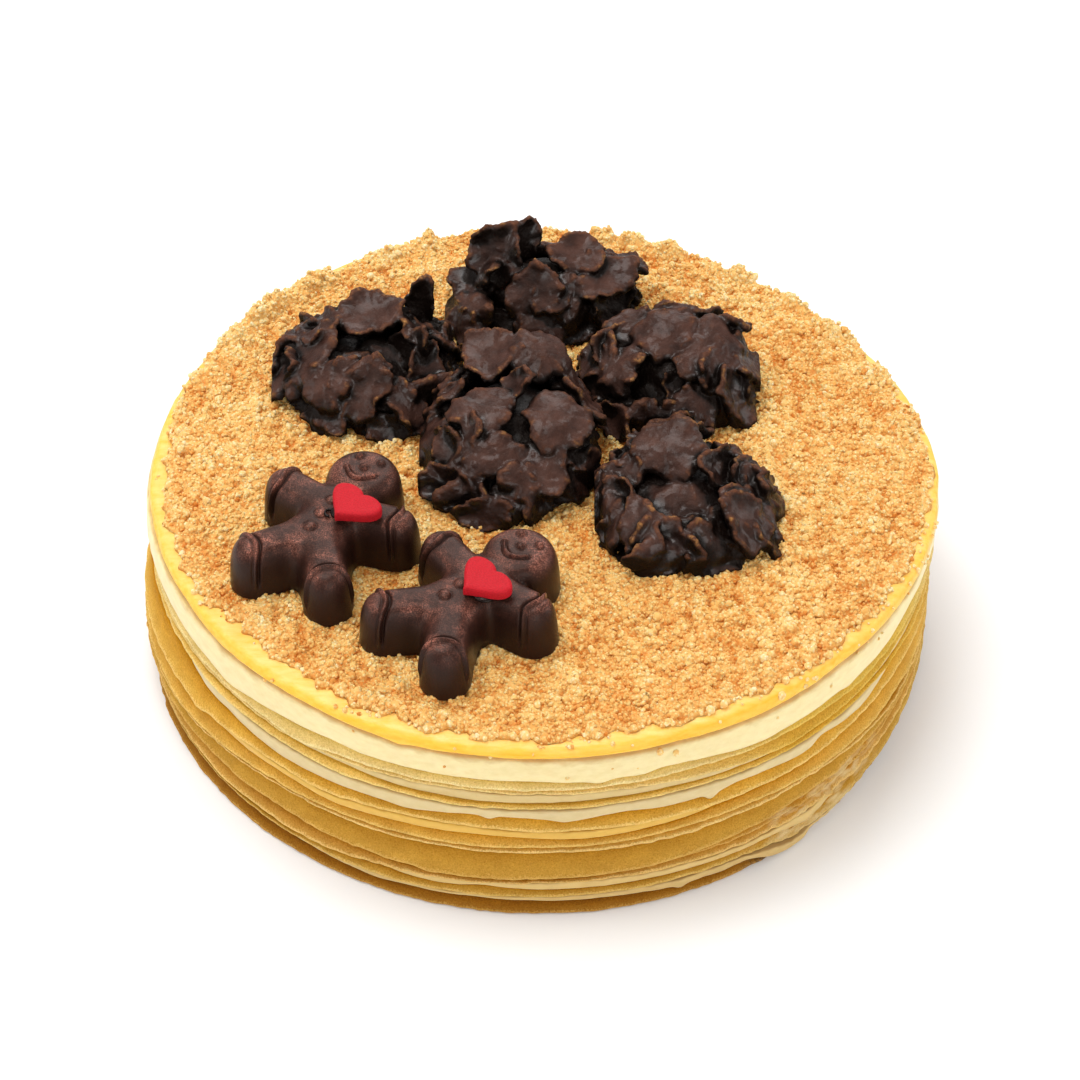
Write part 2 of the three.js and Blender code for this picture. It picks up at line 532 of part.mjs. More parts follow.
// ---------------------------------------------------------------- cookie crumbs
// Bare custard shows in a band inside the rim, wider at the front left and front right.
const bareBand = around(1.2, [[225, 22, 3.6], [262, 12, 1.6], [300, 20, 2.2], [335, 14, 2], [180, 10, 1.6],
  [125, 8, 1.4], [20, 8, 1.5]], 0.3, 501);
const bumpRandom = seeded(503);
const covered = (x, y) => heaps.some(({ core }) => Math.hypot((x - core[0]) / (core[2] + 15),
  (y - core[1]) / (core[3] + 16)) < 1)
  || men.some(({ position, rotation }) => {
    const [dx, dy] = [x - position.x, y - position.y];
    const across = dx * Math.cos(rotation.z) + dy * Math.sin(rotation.z);
    const along = -dx * Math.sin(rotation.z) + dy * Math.cos(rotation.z);
    return Math.abs(across) < 37 && along < 26 && along > -58;
  });

function crumbMesh() {
  const shares = [0.3, 0.55, 0.7, 0.8, 0.87, 0.93, 0.97];
  const count = shares.length + 4;
  const profile = Array.from({ length: count }, (_, j) => new THREE.Vector2(j === 0 || j === count - 1 ? 0 : 1, j));
  const geometry = new THREE.LatheGeometry(profile, SEGMENTS);
  const position = geometry.attributes.position;
  const seam = [];
  for (let i = 0; i <= SEGMENTS; i++) {
    const angle = stations[i % SEGMENTS];
    const t = angle * degrees;
    const rim = stackRadius(angle, CAKE_HEIGHT) - Math.max(0.2, bareBand(angle)) - 1.6 * bumpRandom();
    const rows = i === SEGMENTS ? seam : [[0, CAKE_HEIGHT], [rim - 0.4, CAKE_HEIGHT], [rim, CAKE_HEIGHT + 1]];
    if (i < SEGMENTS) {
      for (const share of [...shares].reverse()) {
        const r = rim * share;
        const bump = covered(r * Math.cos(t), r * Math.sin(t)) ? 0 : 1.6 * bumpRandom() - 0.1;
        const heaped = share > 0.9 && angle < 190 ? 0.6 + 2.2 * bumpRandom() : 0;
        rows.push([r, CRUMB_TOP + bump + heaped]);
      }
      rows.push([0, CRUMB_TOP]);
      if (i === 0) seam.push(...rows);
    }
    rows.forEach(([radius, height], j) => {
      const a = i === SEGMENTS ? stations[0] * degrees : t;
      position.setXYZ(i * count + j, radius * Math.cos(a), radius * Math.sin(a), height);
    });
  }
  return finish('cookie_crumbs', closed(geometry), finishes.crumbs);
}

// ---------------------------------------------------------------- the cake
const cake = new THREE.Group();
cake.name = 'crepe_cake';
const stack = new THREE.Group();
stack.add(...layers.map(layerMesh), crumbMesh());
const toppings = new THREE.Group();
toppings.add(...heaps.map(heapMesh), ...men);
cake.add(stack, toppings);

// Centre the whole box on the axis.
cake.updateMatrixWorld(true);
const box = new THREE.Box3().setFromObject(cake, true);
cake.position.set(-(box.min.x + box.max.x) / 2, -(box.min.y + box.max.y) / 2, -box.min.z);

export default cake;
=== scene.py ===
"""A crepe cake: layered crepes and creams under custard, cookie crumbs, heaps of chocolate flakes, and two
moulded chocolate gingerbread men that carry sugar hearts."""
import logging
import math
from dataclasses import dataclass, field
from enum import Enum

import bmesh
import bpy
import numpy as np
from mathutils import Matrix, Vector


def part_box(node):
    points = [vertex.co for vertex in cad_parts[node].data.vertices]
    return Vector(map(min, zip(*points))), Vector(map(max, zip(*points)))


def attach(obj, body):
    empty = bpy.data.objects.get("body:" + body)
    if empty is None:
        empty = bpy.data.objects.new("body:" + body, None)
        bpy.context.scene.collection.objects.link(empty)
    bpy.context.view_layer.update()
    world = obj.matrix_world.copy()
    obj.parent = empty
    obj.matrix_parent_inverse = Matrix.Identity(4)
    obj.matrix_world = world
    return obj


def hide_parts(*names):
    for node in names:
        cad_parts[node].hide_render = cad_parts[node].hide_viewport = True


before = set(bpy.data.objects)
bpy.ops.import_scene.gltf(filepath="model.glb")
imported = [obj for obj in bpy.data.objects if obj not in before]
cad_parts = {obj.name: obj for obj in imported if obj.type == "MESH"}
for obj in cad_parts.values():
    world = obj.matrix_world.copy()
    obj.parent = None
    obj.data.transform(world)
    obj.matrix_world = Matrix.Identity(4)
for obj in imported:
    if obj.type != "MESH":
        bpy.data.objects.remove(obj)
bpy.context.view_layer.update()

Array = np.ndarray
Mesh = bpy.types.Mesh
Piece = bpy.types.Object
Material = bpy.types.Material
Socket = bpy.types.NodeSocket
Random = np.random.Generator
Triple = tuple[float, float, float]
Marks = tuple[tuple[float, float], ...]
Rim = dict[str, np.ndarray]
Row = tuple[np.ndarray, np.ndarray, float]

MM = 0.001
AXIS = np.array((1.0574, 0.8350, 0.0))  # the middle of the stack in the frame
CAKE_HEIGHT = 55.5  # the custard's top
CRUMB_FLOOR = 57.0  # where the heaps and figures stand
CRUMB_SLOPE = 0.0006  # how much paler the crumbs get toward the back
STATIONS = 900  # points round each layer and round the sheet of crumbs
NOSE_DEPTH = 3.2  # how far the modelled edge of a layer reaches inward
LEAST_BAND = 0.25  # the least height that a layer shows before its edge is roughened
INTERFACE_GAP = 0.02  # taken off the faces that layers share, so that they stay apart
TORN_FROM = 12  # the first of the lower layers that are torn and smeared
TORN_AT = 314.0  # the angle at which they are
CLUMP_RING = 96.3  # the radius at which clumps of crumbs stand along the rim

log = logging.getLogger("crepe_cake")


def polar(radius: Array | float, angles: Array, height: Array | float) -> Array:
    """Positions from radii, angles in degrees and heights, shape (n, 3)."""
    t = np.radians(angles)
    return np.column_stack([radius * np.cos(t), radius * np.sin(t), np.broadcast_to(height, t.shape)])


def bearing(place: Array) -> Array:
    """The angles at which positions lie, 0 to 360 degrees."""
    return np.degrees(np.arctan2(place[:, 1], place[:, 0])) % 360


def hill(angles: Array, where: float, wide: float, power: int = 2) -> Array:
    """A smooth hill of height 1 round an angle, of a half width in degrees."""
    return np.exp(-((((angles - where + 540) % 360 - 180) / wide) ** power))


def linear(colour: Triple) -> tuple[float, float, float, float]:
    """Turn a display colour into a linear colour with alpha.

    Args:
        colour: red, green and blue of 0 to 255.

    Returns:
        The four linear values.
    """
    values = [c / 255 for c in colour]
    lit = [c / 12.92 if c <= 0.04045 else ((c + 0.055) / 1.055) ** 2.4 for c in values]
    return (lit[0], lit[1], lit[2], 1.0)


# ---- noise
class Noise:
    """Seeded noise on a lattice, for arrays of points in millimetres."""

    def __init__(self, seed: int) -> None:
        """Keep the seed."""
        self.seed = seed

    def _hash(self, cells: Array, salt: int = 0) -> Array:
        """Give each cell a value of 0 to 1.

        Args:
            cells: whole numbers, shape (n, 3).
            salt: tells apart several values of one cell.

        Returns:
            The values, shape (n,).
        """
        with np.errstate(over="ignore"):
            c = cells.astype(np.int64).astype(np.uint64)
            h = c[:, 0] * np.uint64(73856093) ^ c[:, 1] * np.uint64(19349663) ^ c[:, 2] * np.uint64(83492791)
            h ^= np.uint64(self.seed * 2654435761 + salt * 40503 + 12345)
            h ^= h >> np.uint64(33)
            h *= np.uint64(0xFF51AFD7ED558CCD)
            h ^= h >> np.uint64(33)
            h *= np.uint64(0xC4CEB9FE1A85EC53)
            h ^= h >> np.uint64(33)
        return (h >> np.uint64(40)).astype(np.float64) / float(1 << 24)

    def smooth(self, points: Array, size: float) -> Array:
        """Smooth noise of -1 to 1.

        Args:
            points: positions, shape (n, 3).
            size: lattice spacing.

        Returns:
            The values, shape (n,).
        """
        p = points / size
        base = np.floor(p)
        f = p - base
        f = f * f * (3 - 2 * f)
        total = np.zeros(len(points))
        for corner in range(8):
            d = np.array([corner & 1, corner >> 1 & 1, corner >> 2 & 1])
            weight = np.prod(np.where(d, f, 1 - f), axis=1)
            total += weight * self._hash(base + d)
        return total * 2 - 1

    def layered(self, points: Array, size: float, steps: int = 3) -> Array:
        """Several sizes of smooth noise added up.

        Args:
            points: positions, shape (n, 3).
            size: the largest lattice spacing.
            steps: how many sizes, each half of the one before.

        Returns:
            The values, about -1 to 1.
        """
        total = np.zeros(len(points))
        for k in range(steps):
            total += self.smooth(points + 17.3 * k, size / 2**k) / 2**k
        return total / 1.6

    def domes(self, points: Array, size: float, fill: float = 0.62) -> Array:
        """Round bumps, one for each cell of a flat lattice.

        Args:
            points: positions, shape (n, 3); z isn't read.
            size: lattice spacing.
            fill: radius of a bump as a share of the spacing.

        Returns:
            Heights of 0 to 1.
        """
        flat = np.column_stack([points[:, 0] / size, points[:, 1] / size, np.zeros(len(points))])
        base = np.floor(flat)
        best = np.zeros(len(points))
        for dx in (-1, 0, 1):
            for dy in (-1, 0, 1):
                cell = base + (dx, dy, 0)
                cx = cell[:, 0] + 0.15 + 0.7 * self._hash(cell, 1)
                cy = cell[:, 1] + 0.15 + 0.7 * self._hash(cell, 2)
                high = 0.25 + 0.75 * self._hash(cell, 3)
                reach = fill * (0.6 + 0.6 * self._hash(cell, 4))
                d = np.hypot(flat[:, 0] - cx, flat[:, 1] - cy) / reach
                best = np.maximum(best, high * np.sqrt(np.clip(1 - d * d, 0, 1)))
        return best


# ---- meshes
class Mesher:
    """Small tools that make and finish meshes."""

    @staticmethod
    def from_bmesh(bm: bmesh.types.BMesh, name: str) -> Mesh:
        """Turn a bmesh into a mesh and free it.

        Args:
            bm: the bmesh.
            name: the mesh's name.

        Returns:
            The mesh.
        """
        mesh = bpy.data.meshes.new(name)
        bm.to_mesh(mesh)
        bm.free()
        return mesh

    @staticmethod
    def read(items: bpy.types.bpy_prop_collection, key: str, each: int, kind: type = float) -> Array:
        """Read one property of all vertices, edges or loops.

        Args:
            items: the vertices, edges or loops.
            key: the property.
            each: how many numbers an item has.
            kind: the type of a number.

        Returns:
            The numbers, one row for each item.
        """
        values = np.empty(len(items) * each, dtype=kind)
        items.foreach_get(key, values)
        return values.reshape(-1, each)

    @staticmethod
    def coords(mesh: Mesh) -> Array:
        """Read the vertices, shape (n, 3)."""
        return Mesher.read(mesh.vertices, "co", 3)

    @staticmethod
    def normals(mesh: Mesh) -> Array:
        """Read the vertex normals, shape (n, 3)."""
        return Mesher.read(mesh.vertex_normals, "vector", 3)

    @staticmethod
    def edges(mesh: Mesh) -> Array:
        """Read the edges, shape (n, 2)."""
        return Mesher.read(mesh.edges, "vertices", 2, np.int32)

    @staticmethod
    def shape(bm: bmesh.types.BMesh) -> tuple[Array, Array]:
        """Give the vertices and triangles of a bmesh of triangles, and free it.

        Args:
            bm: the bmesh.

        Returns:
            The vertices and the triangles.
        """
        mesh = Mesher.from_bmesh(bm, "shape")
        co = Mesher.coords(mesh)
        faces = Mesher.read(mesh.loops, "vertex_index", 1, np.int32).reshape(-1, 3)
        bpy.data.meshes.remove(mesh)
        return co, faces

    @staticmethod
    def ball(subdivisions: int, radius: float) -> tuple[Array, Array]:
        """Vertices and triangles of a round ball.

        Args:
            subdivisions: how fine it is.
            radius: its radius.

        Returns:
            The vertices and the triangles.
        """
        bm = bmesh.new()
        bmesh.ops.create_icosphere(bm, subdivisions=subdivisions, radius=radius)
        bmesh.ops.recalc_face_normals(bm, faces=bm.faces)
        return Mesher.shape(bm)

    @staticmethod
    def turned(count: int, stations: int) -> Mesh:
        """A closed skin turned about Z, one unit wide, whose rows can be told from their height.

        Args:
            count: number of rows; the first and last lie on the axis.
            stations: points round each row.

        Returns:
            The mesh, with row j at height j.
        """
        bm = bmesh.new()
        row = [bm.verts.new((0 if j in (0, count - 1) else 1, 0, j)) for j in range(count)]
        edges = [bm.edges.new(pair) for pair in zip(row, row[1:])]
        bmesh.ops.spin(bm, geom=row + edges, cent=(0, 0, 0), axis=(0, 0, 1), dvec=(0, 0, 0), angle=math.tau,
                       steps=stations, use_merge=True, use_duplicate=False)
        bmesh.ops.remove_doubles(bm, verts=bm.verts, dist=1e-5)
        bmesh.ops.recalc_face_normals(bm, faces=bm.faces)
        return Mesher.from_bmesh(bm, "turned")

    @staticmethod
    def sorted_out(parts: list) -> tuple[list, list]:
        """The vertices and the faces among the parts of a bmesh."""
        kinds = (bmesh.types.BMVert, bmesh.types.BMFace)
        return tuple([p for p in parts if isinstance(p, kind)] for kind in kinds)

    @staticmethod
    def set_coords(mesh: Mesh, co: Array) -> None:
        """Write the vertices."""
        mesh.vertices.foreach_set("co", np.ascontiguousarray(co, dtype=np.float32).ravel())
        mesh.update()

    @staticmethod
    def attribute(mesh: Mesh, name: str, values: Array) -> None:
        """Store one value at each vertex."""
        data = mesh.attributes.new(name, "FLOAT", "POINT").data
        data.foreach_set("value", np.ascontiguousarray(values, dtype=np.float32))

    @staticmethod
    def from_arrays(name: str, co: Array, triangles: Array) -> Mesh:
        """Make a mesh from joined copies of one shape.

        Args:
            name: the mesh's name.
            co: vertices, shape (n, 3).
            triangles: vertex numbers, shape (m, 3).

        Returns:
            The mesh.
        """
        mesh = bpy.data.meshes.new(name)
        mesh.vertices.add(len(co))
        mesh.vertices.foreach_set("co", np.ascontiguousarray(co, dtype=np.float32).ravel())
        mesh.loops.add(triangles.size)
        mesh.loops.foreach_set("vertex_index", np.ascontiguousarray(triangles, dtype=np.int32).ravel())
        mesh.polygons.add(len(triangles))
        mesh.polygons.foreach_set("loop_start", np.arange(0, triangles.size, 3, dtype=np.int32))
        mesh.update(calc_edges=True)
        mesh.validate()
        return mesh

    @staticmethod
    def turns(angles: Array) -> Array:
        """Rotation matrices from three angles each.

        Args:
            angles: turns about X, Y and Z in radians, shape (n, 3).

        Returns:
            Matrices, shape (n, 3, 3).
        """
        c, s = np.cos(angles), np.sin(angles)
        n = len(angles)
        x, y, z = (np.tile(np.eye(3), (n, 1, 1)) for _ in range(3))
        x[:, 1, 1], x[:, 1, 2], x[:, 2, 1], x[:, 2, 2] = c[:, 0], -s[:, 0], s[:, 0], c[:, 0]
        y[:, 0, 0], y[:, 0, 2], y[:, 2, 0], y[:, 2, 2] = c[:, 1], s[:, 1], -s[:, 1], c[:, 1]
        z[:, 0, 0], z[:, 0, 1], z[:, 1, 0], z[:, 1, 1] = c[:, 2], -s[:, 2], s[:, 2], c[:, 2]
        return z @ y @ x

    @staticmethod
    def spread(co: Array, faces: Array, places: Array, frames: Array) -> tuple[Array, Array]:
        """Copy one shape to many places.

        Args:
            co: the shape's vertices, shape (v, 3).
            faces: the shape's triangles, shape (f, 3).
            places: where each copy goes, shape (n, 3).
            frames: how each copy is turned and sized, shape (n, 3, 3).

        Returns:
            The vertices and triangles of all the copies.
        """
        moved = np.einsum("nij,vj->nvi", frames, co) + places[:, None, :]
        index = faces[None] + (np.arange(len(places)) * len(co))[:, None, None]
        return moved.reshape(-1, 3), index.reshape(-1, 3)

    @staticmethod
    def modified(mesh: Mesh, kind: str, **settings: object) -> Mesh:
        """Run a mesh through one modifier.

        Args:
            mesh: the mesh; it is removed.
            kind: the modifier's type.
            settings: the modifier's settings.

        Returns:
            The new mesh.
        """
        source = bpy.data.objects.new("modified", mesh)
        bpy.context.scene.collection.objects.link(source)
        modifier = source.modifiers.new("step", kind)
        for key, value in settings.items():
            setattr(modifier, key, value)
        graph = bpy.context.evaluated_depsgraph_get()
        result = bpy.data.meshes.new_from_object(source.evaluated_get(graph), depsgraph=graph)
        bpy.data.objects.remove(source)
        bpy.data.meshes.remove(mesh)
        return result

    @staticmethod
    def fused(mesh: Mesh, voxel: float) -> Mesh:
        """Fuse overlapping closed shapes into one skin with vertices a voxel apart."""
        return Mesher.modified(mesh, "REMESH", mode="VOXEL", voxel_size=voxel, adaptivity=0.0)

    @staticmethod
    def thinned(mesh: Mesh, share: float) -> Mesh:
        """Keep a share of the faces, most of them where the surface bends."""
        return Mesher.modified(mesh, "DECIMATE", decimate_type="COLLAPSE", ratio=share)

    @staticmethod
    def relax(values: Array, edges: Array, rounds: int) -> Array:
        """Average values with those of the neighbours.

        Args:
            values: one row for each vertex.
            edges: pairs of vertices.
            rounds: how many times each value goes half way to its neighbours' mean.

        Returns:
            The new values.
        """
        count = np.maximum(np.bincount(edges.ravel(), minlength=len(values)).astype(float), 1)
        start, end = edges[:, 0], edges[:, 1]
        flat = values.ndim == 1
        v = values[:, None].copy() if flat else values.copy()
        for _ in range(rounds):
            total = np.zeros_like(v)
            for k in range(v.shape[1]):
                total[:, k] = np.bincount(start, v[end, k], len(v)) + np.bincount(end, v[start, k], len(v))
            v += 0.5 * (total / count[:, None] - v)
        return v[:, 0] if flat else v


def hidden_sky(co: Array, normal: Array, cell: float = 0.6, reaches: tuple[float, ...] = (0.8, 1.6, 3, 5, 8),
               ways: int = 12) -> Array:
    """Share of the sky that higher parts nearby hide from each vertex.

    Args:
        co: the vertices, shape (n, 3).
        normal: their normals, shape (n, 3).
        cell: width of a cell of the height map.
        reaches: distances at which the height map is read.
        ways: number of directions.

    Returns:
        Values of 0 to 1.
    """
    low = co[:, :2].min(0) - max(reaches) - cell
    spot = ((co[:, :2] - low) / cell).astype(int)
    top = np.full(spot.max(0) + int(max(reaches) / cell) + 3, -1e6)
    np.maximum.at(top, (spot[:, 0], spot[:, 1]), co[:, 2])
    hidden, total = np.zeros(len(co)), np.zeros(len(co))
    for turn in np.arange(ways) * math.tau / ways:
        slope = np.zeros(len(co))
        ahead = np.clip(0.3 + normal[:, 0] * math.cos(turn) + normal[:, 1] * math.sin(turn), 0.02, 1)
        for reach in reaches:
            at = ((co[:, :2] + reach * np.array((math.cos(turn), math.sin(turn))) - low) / cell).astype(int)
            slope = np.maximum(slope, (top[at[:, 0], at[:, 1]] - co[:, 2]) / reach)
        hidden += ahead * slope**2 / (1 + slope**2)
        total += ahead
    under = np.clip((top[spot[:, 0], spot[:, 1]] - co[:, 2] - 1.5) / 4, 0, 0.6)
    return np.clip(hidden / total + under, 0, 1)


class Placer:
    """Puts finished meshes into the frame."""

    @staticmethod
    def place(name: str, mesh: Mesh, material: Material, slot: str, *nodes: str) -> Piece:
        """Make a piece of the cake from a mesh in millimetres about the stack's axis.

        Args:
            name: the piece's name.
            mesh: the mesh.
            material: its finish.
            slot: not used.
            nodes: the solids that the piece stands for.

        Returns:
            The object.
        """
        Mesher.set_coords(mesh, (Mesher.coords(mesh) + AXIS) * MM)
        mesh.polygons.foreach_set("use_smooth", np.ones(len(mesh.polygons), dtype=bool))
        mesh.materials.clear()
        mesh.materials.append(material)
        piece = bpy.data.objects.new(name, mesh)
        mesh.name = name
        bpy.context.scene.collection.objects.link(piece)
        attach(piece, "root")
        if nodes:
            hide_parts(*nodes)
        log.info("%s: %d faces", name, len(mesh.polygons))
        return piece


# ---- finishes
RANGE = ("From Min", "From Max", "To Min", "To Max")  # sockets of a Map Range node


class Effect(Enum):
    """Node groups that several finishes use, each built once."""

    GRAIN = "grain"
    PORES = "pores"

    def group(self) -> bpy.types.NodeTree:
        """The group of this effect, built when it is first asked for.

        Returns:
            The group.
        """
        found = bpy.data.node_groups.get(self.value)
        if found:
            return found
        group = bpy.data.node_groups.new(self.value, "ShaderNodeTree")
        group.interface.new_socket("Size", in_out="INPUT", socket_type="NodeSocketVector")
        for name in self.settings():
            group.interface.new_socket(name, in_out="INPUT", socket_type="NodeSocketFloat")
        group.interface.new_socket("Mask", in_out="OUTPUT", socket_type="NodeSocketFloat")
        given, out = group.nodes.new("NodeGroupInput"), group.nodes.new("NodeGroupOutput")
        place = group.nodes.new("ShaderNodeTexCoord")
        in_millimetres = group.nodes.new("ShaderNodeVectorMath")
        in_millimetres.operation = "SCALE"
        in_millimetres.inputs["Scale"].default_value = 1 / MM
        sized = group.nodes.new("ShaderNodeVectorMath")
        sized.operation = "DIVIDE"
        pattern = group.nodes.new("ShaderNodeTexNoise" if self is Effect.GRAIN else "ShaderNodeTexVoronoi")
        pattern.inputs["Scale"].default_value = 1.0
        spread = group.nodes.new("ShaderNodeMapRange")
        value = pattern.outputs["Fac" if self is Effect.GRAIN else "Distance"]
        links = [(place.outputs["Object"], in_millimetres.inputs[0]),
                 (in_millimetres.outputs[0], sized.inputs[0]), (given.outputs["Size"], sized.inputs[1]),
                 (sized.outputs[0], pattern.inputs["Vector"]), (value, spread.inputs["Value"]),
                 (spread.outputs["Result"], out.inputs["Mask"])]
        links += [(given.outputs[name], spread.inputs[end]) for name, end in zip(self.settings(), RANGE)]
        links += [(given.outputs[name], pattern.inputs[name]) for name in self.settings()[4:]]
        for source, target in links:
            group.links.new(source, target)
        return group

    def settings(self) -> list[str]:
        """The names of the group's numbers."""
        own = ["Detail", "Roughness"] if self is Effect.GRAIN else ["Randomness"]
        return ["Low", "High", "To Low", "To High", *own]


class Shader:
    """A material under construction."""

    def __init__(self, name: str) -> None:
        """Start a material with a Principled surface.

        Args:
            name: the material's name.
        """
        self.material = bpy.data.materials.new(name)
        self.material.use_nodes = True
        self.tree = self.material.node_tree
        self.tree.nodes.clear()
        self.output = self.tree.nodes.new("ShaderNodeOutputMaterial")
        self.surface = self.tree.nodes.new("ShaderNodeBsdfPrincipled")
        self.tree.links.new(self.surface.outputs["BSDF"], self.output.inputs["Surface"])

    def set(self, **values: object) -> None:
        """Set sockets of the surface; a name's underscores stand for spaces."""
        for key, value in values.items():
            self.surface.inputs[key.replace("_", " ")].default_value = value

    def link(self, source: Socket, target: str | Socket) -> None:
        """Link a socket to one of the surface's sockets or to any other."""
        end = self.surface.inputs[target] if isinstance(target, str) else target
        self.tree.links.new(source, end)

    def feed(self, value: object, target: Socket) -> None:
        """Link a socket to a node's input, or set the input to a number or colour.

        Args:
            value: the socket, number or colour.
            target: the node's input.
        """
        if isinstance(value, Socket):
            self.tree.links.new(value, target)
        else:
            target.default_value = value

    def attribute(self, name: str) -> Socket:
        """Read a value stored at the vertices.

        Args:
            name: the attribute's name.

        Returns:
            The value.
        """
        node = self.tree.nodes.new("ShaderNodeAttribute")
        node.attribute_name = name
        return node.outputs["Fac"]

    def effect(self, kind: Effect, size: float | Triple, *numbers: float) -> Socket:
        """Place a shared effect with this material's own numbers.

        Args:
            kind: the effect.
            size: its size in millimetres, the same all ways or along each axis.
            numbers: the settings in their order.

        Returns:
            The mask.
        """
        node = self.tree.nodes.new("ShaderNodeGroup")
        node.node_tree = kind.group()
        node.inputs["Size"].default_value = size if isinstance(size, tuple) else (size, size, size)
        for name, number in zip(kind.settings(), numbers):
            node.inputs[name].default_value = number
        return node.outputs["Mask"]

    def grain(self, size: float | Triple, low: float = 0, high: float = 1, to_low: float = 0,
              to_high: float = 1,
              detail: float = 3) -> Socket:
        """Cloudy noise from one value to another, of a size in millimetres, one or along each axis."""
        return self.effect(Effect.GRAIN, size, low, high, to_low, to_high, detail, 0.58)

    def pores(self, size: float, wide: float) -> Socket:
        """Scattered soft dots: 1 in their middle, 0 outside."""
        return self.effect(Effect.PORES, size, 0, wide, 1, 0, 1)

    def ramp(self, value: Socket, *stops: tuple[float, tuple[float, ...]]) -> Socket:
        """Turn a value into a colour.

        Args:
            value: the value.
            stops: pairs of a value and its display colour.

        Returns:
            The colour.
        """
        node = self.tree.nodes.new("ShaderNodeValToRGB")
        ramp = node.color_ramp
        while len(ramp.elements) < len(stops):
            ramp.elements.new(0.5)
        for element, (where, colour) in zip(ramp.elements, stops):
            element.position = where
            element.color = linear(colour)
        self.link(value, node.inputs["Fac"])
        return node.outputs["Color"]

    def remap(self, value: Socket, low: float, high: float, to_low: float = 0, to_high: float = 1) -> Socket:
        """Stretch a range of values to another and clamp it.

        Args:
            value: the value.
            low: where the range starts.
            high: where the range ends.
            to_low: what its start becomes.
            to_high: what its end becomes.

        Returns:
            The new value.
        """
        node = self.tree.nodes.new("ShaderNodeMapRange")
        for key, number in zip(RANGE, (low, high, to_low, to_high)):
            node.inputs[key].default_value = number
        self.link(value, node.inputs["Value"])
        return node.outputs["Result"]

    def math(self, operation: str, first: Socket, second: object) -> Socket:
        """Work out a value from two.

        Args:
            operation: the Math node's operation.
            first: a socket.
            second: a socket or a number.

        Returns:
            The value.
        """
        node = self.tree.nodes.new("ShaderNodeMath")
        node.operation = operation
        self.link(first, node.inputs[0])
        self.feed(second, node.inputs[1])
        return node.outputs["Value"]

    def plus(self, first: Socket, second: object) -> Socket:
        """Add two values."""
        return self.math("ADD", first, second)

    def times(self, first: Socket, second: object) -> Socket:
        """Multiply two values."""
        return self.math("MULTIPLY", first, second)

    def mix(self, factor: object, first: object, second: object, blend: str = "MIX") -> Socket:
        """Mix two colours.

        Args:
            factor: a socket or a number.
            first: a socket or a linear colour.
            second: a socket or a linear colour.
            blend: the Mix node's way of blending.

        Returns:
            The colour.
        """
        node = self.tree.nodes.new("ShaderNodeMix")
        node.data_type = "RGBA"
        node.blend_type = blend
        for value, target in ((factor, node.inputs[0]), (first, node.inputs[6]), (second, node.inputs[7])):
            self.feed(value, target)
        return node.outputs[2]

    def tint(self, base: Socket, mask: Socket, low: Triple,
             high: Triple) -> Socket:
        """Multiply a colour by a tint that goes from low to high with a mask."""
        return self.mix(1.0, base, self.mix(mask, (*low, 1.0), (*high, 1.0)), "MULTIPLY")

    def bump(self, height: Socket, distance: float, strength: float = 1.0) -> None:
        """Raise the surface.

        Args:
            height: heights of 0 to 1.
            distance: what a height of 1 stands for, in millimetres.
            strength: how strongly it shows.
        """
        node = self.tree.nodes.new("ShaderNodeBump")
        node.inputs["Strength"].default_value = strength
        node.inputs["Distance"].default_value = distance * MM
        self.link(height, node.inputs["Height"])
        self.link(node.outputs["Normal"], "Normal")


@dataclass(frozen=True)
class CrepeFinish:
    """Baked crepe: brown under the layer above, partly from baking and partly painted shade from the
    overhang, tan down the face and pale at the cut lip.
    """

    name: str
    shade: Triple
    face: Triple
    lip: Triple
    smear: Triple = (226, 198, 142)

    def build(self) -> Material:
        """Build the material.

        Returns:
            The material.
        """
        shader = Shader(self.name)
        ragged = shader.grain(0.42, 0.25, 0.75, -0.11, 0.11)
        rise = shader.plus(shader.attribute("rise"), ragged)
        light = tuple(0.65 * a + 0.35 * b for a, b in zip(self.face, self.lip))
        # The shade stop is partly browning and partly painted shade where the layer above overhangs the face.
        base = shader.ramp(rise, (0.0, self.shade), (0.42, self.face), (0.8, light), (0.93, self.lip))
        base = shader.tint(base, shader.grain((8, 8, 4), 0.3, 0.7, detail=2), (0.94, 0.91, 0.84),
                           (1.1, 1.11, 1.13))
        speck = shader.grain(0.42, 0.3, 0.7)
        base = shader.tint(base, speck, (0.86, 0.82, 0.74), (1.12, 1.14, 1.18))
        base = shader.tint(base, shader.pores(0.95, 0.3), (1, 1, 1), (0.78, 0.7, 0.56))
        base = shader.tint(base, shader.attribute("warm"), (1, 1, 1), (0.87, 0.76, 0.36))
        scorch = shader.times(shader.attribute("scorch"), shader.grain(1.1, 0.36, 0.52))
        base = shader.tint(base, scorch, (1, 1, 1), (0.42, 0.44, 0.8))
        smear = shader.times(shader.attribute("smear"), shader.grain((6, 6, 2.0), 0.4, 0.66, detail=2))
        base = shader.mix(smear, base, linear(self.smear))
        shader.link(base, "Base Color")
        shader.set(Roughness=0.8, Specular_IOR_Level=0.07, Subsurface_Weight=0.2, Subsurface_Scale=1.0,
                   Subsurface_Radius=(0.0007, 0.0004, 0.0002))
        shader.bump(speck, 0.22, 0.9)
        return shader.material


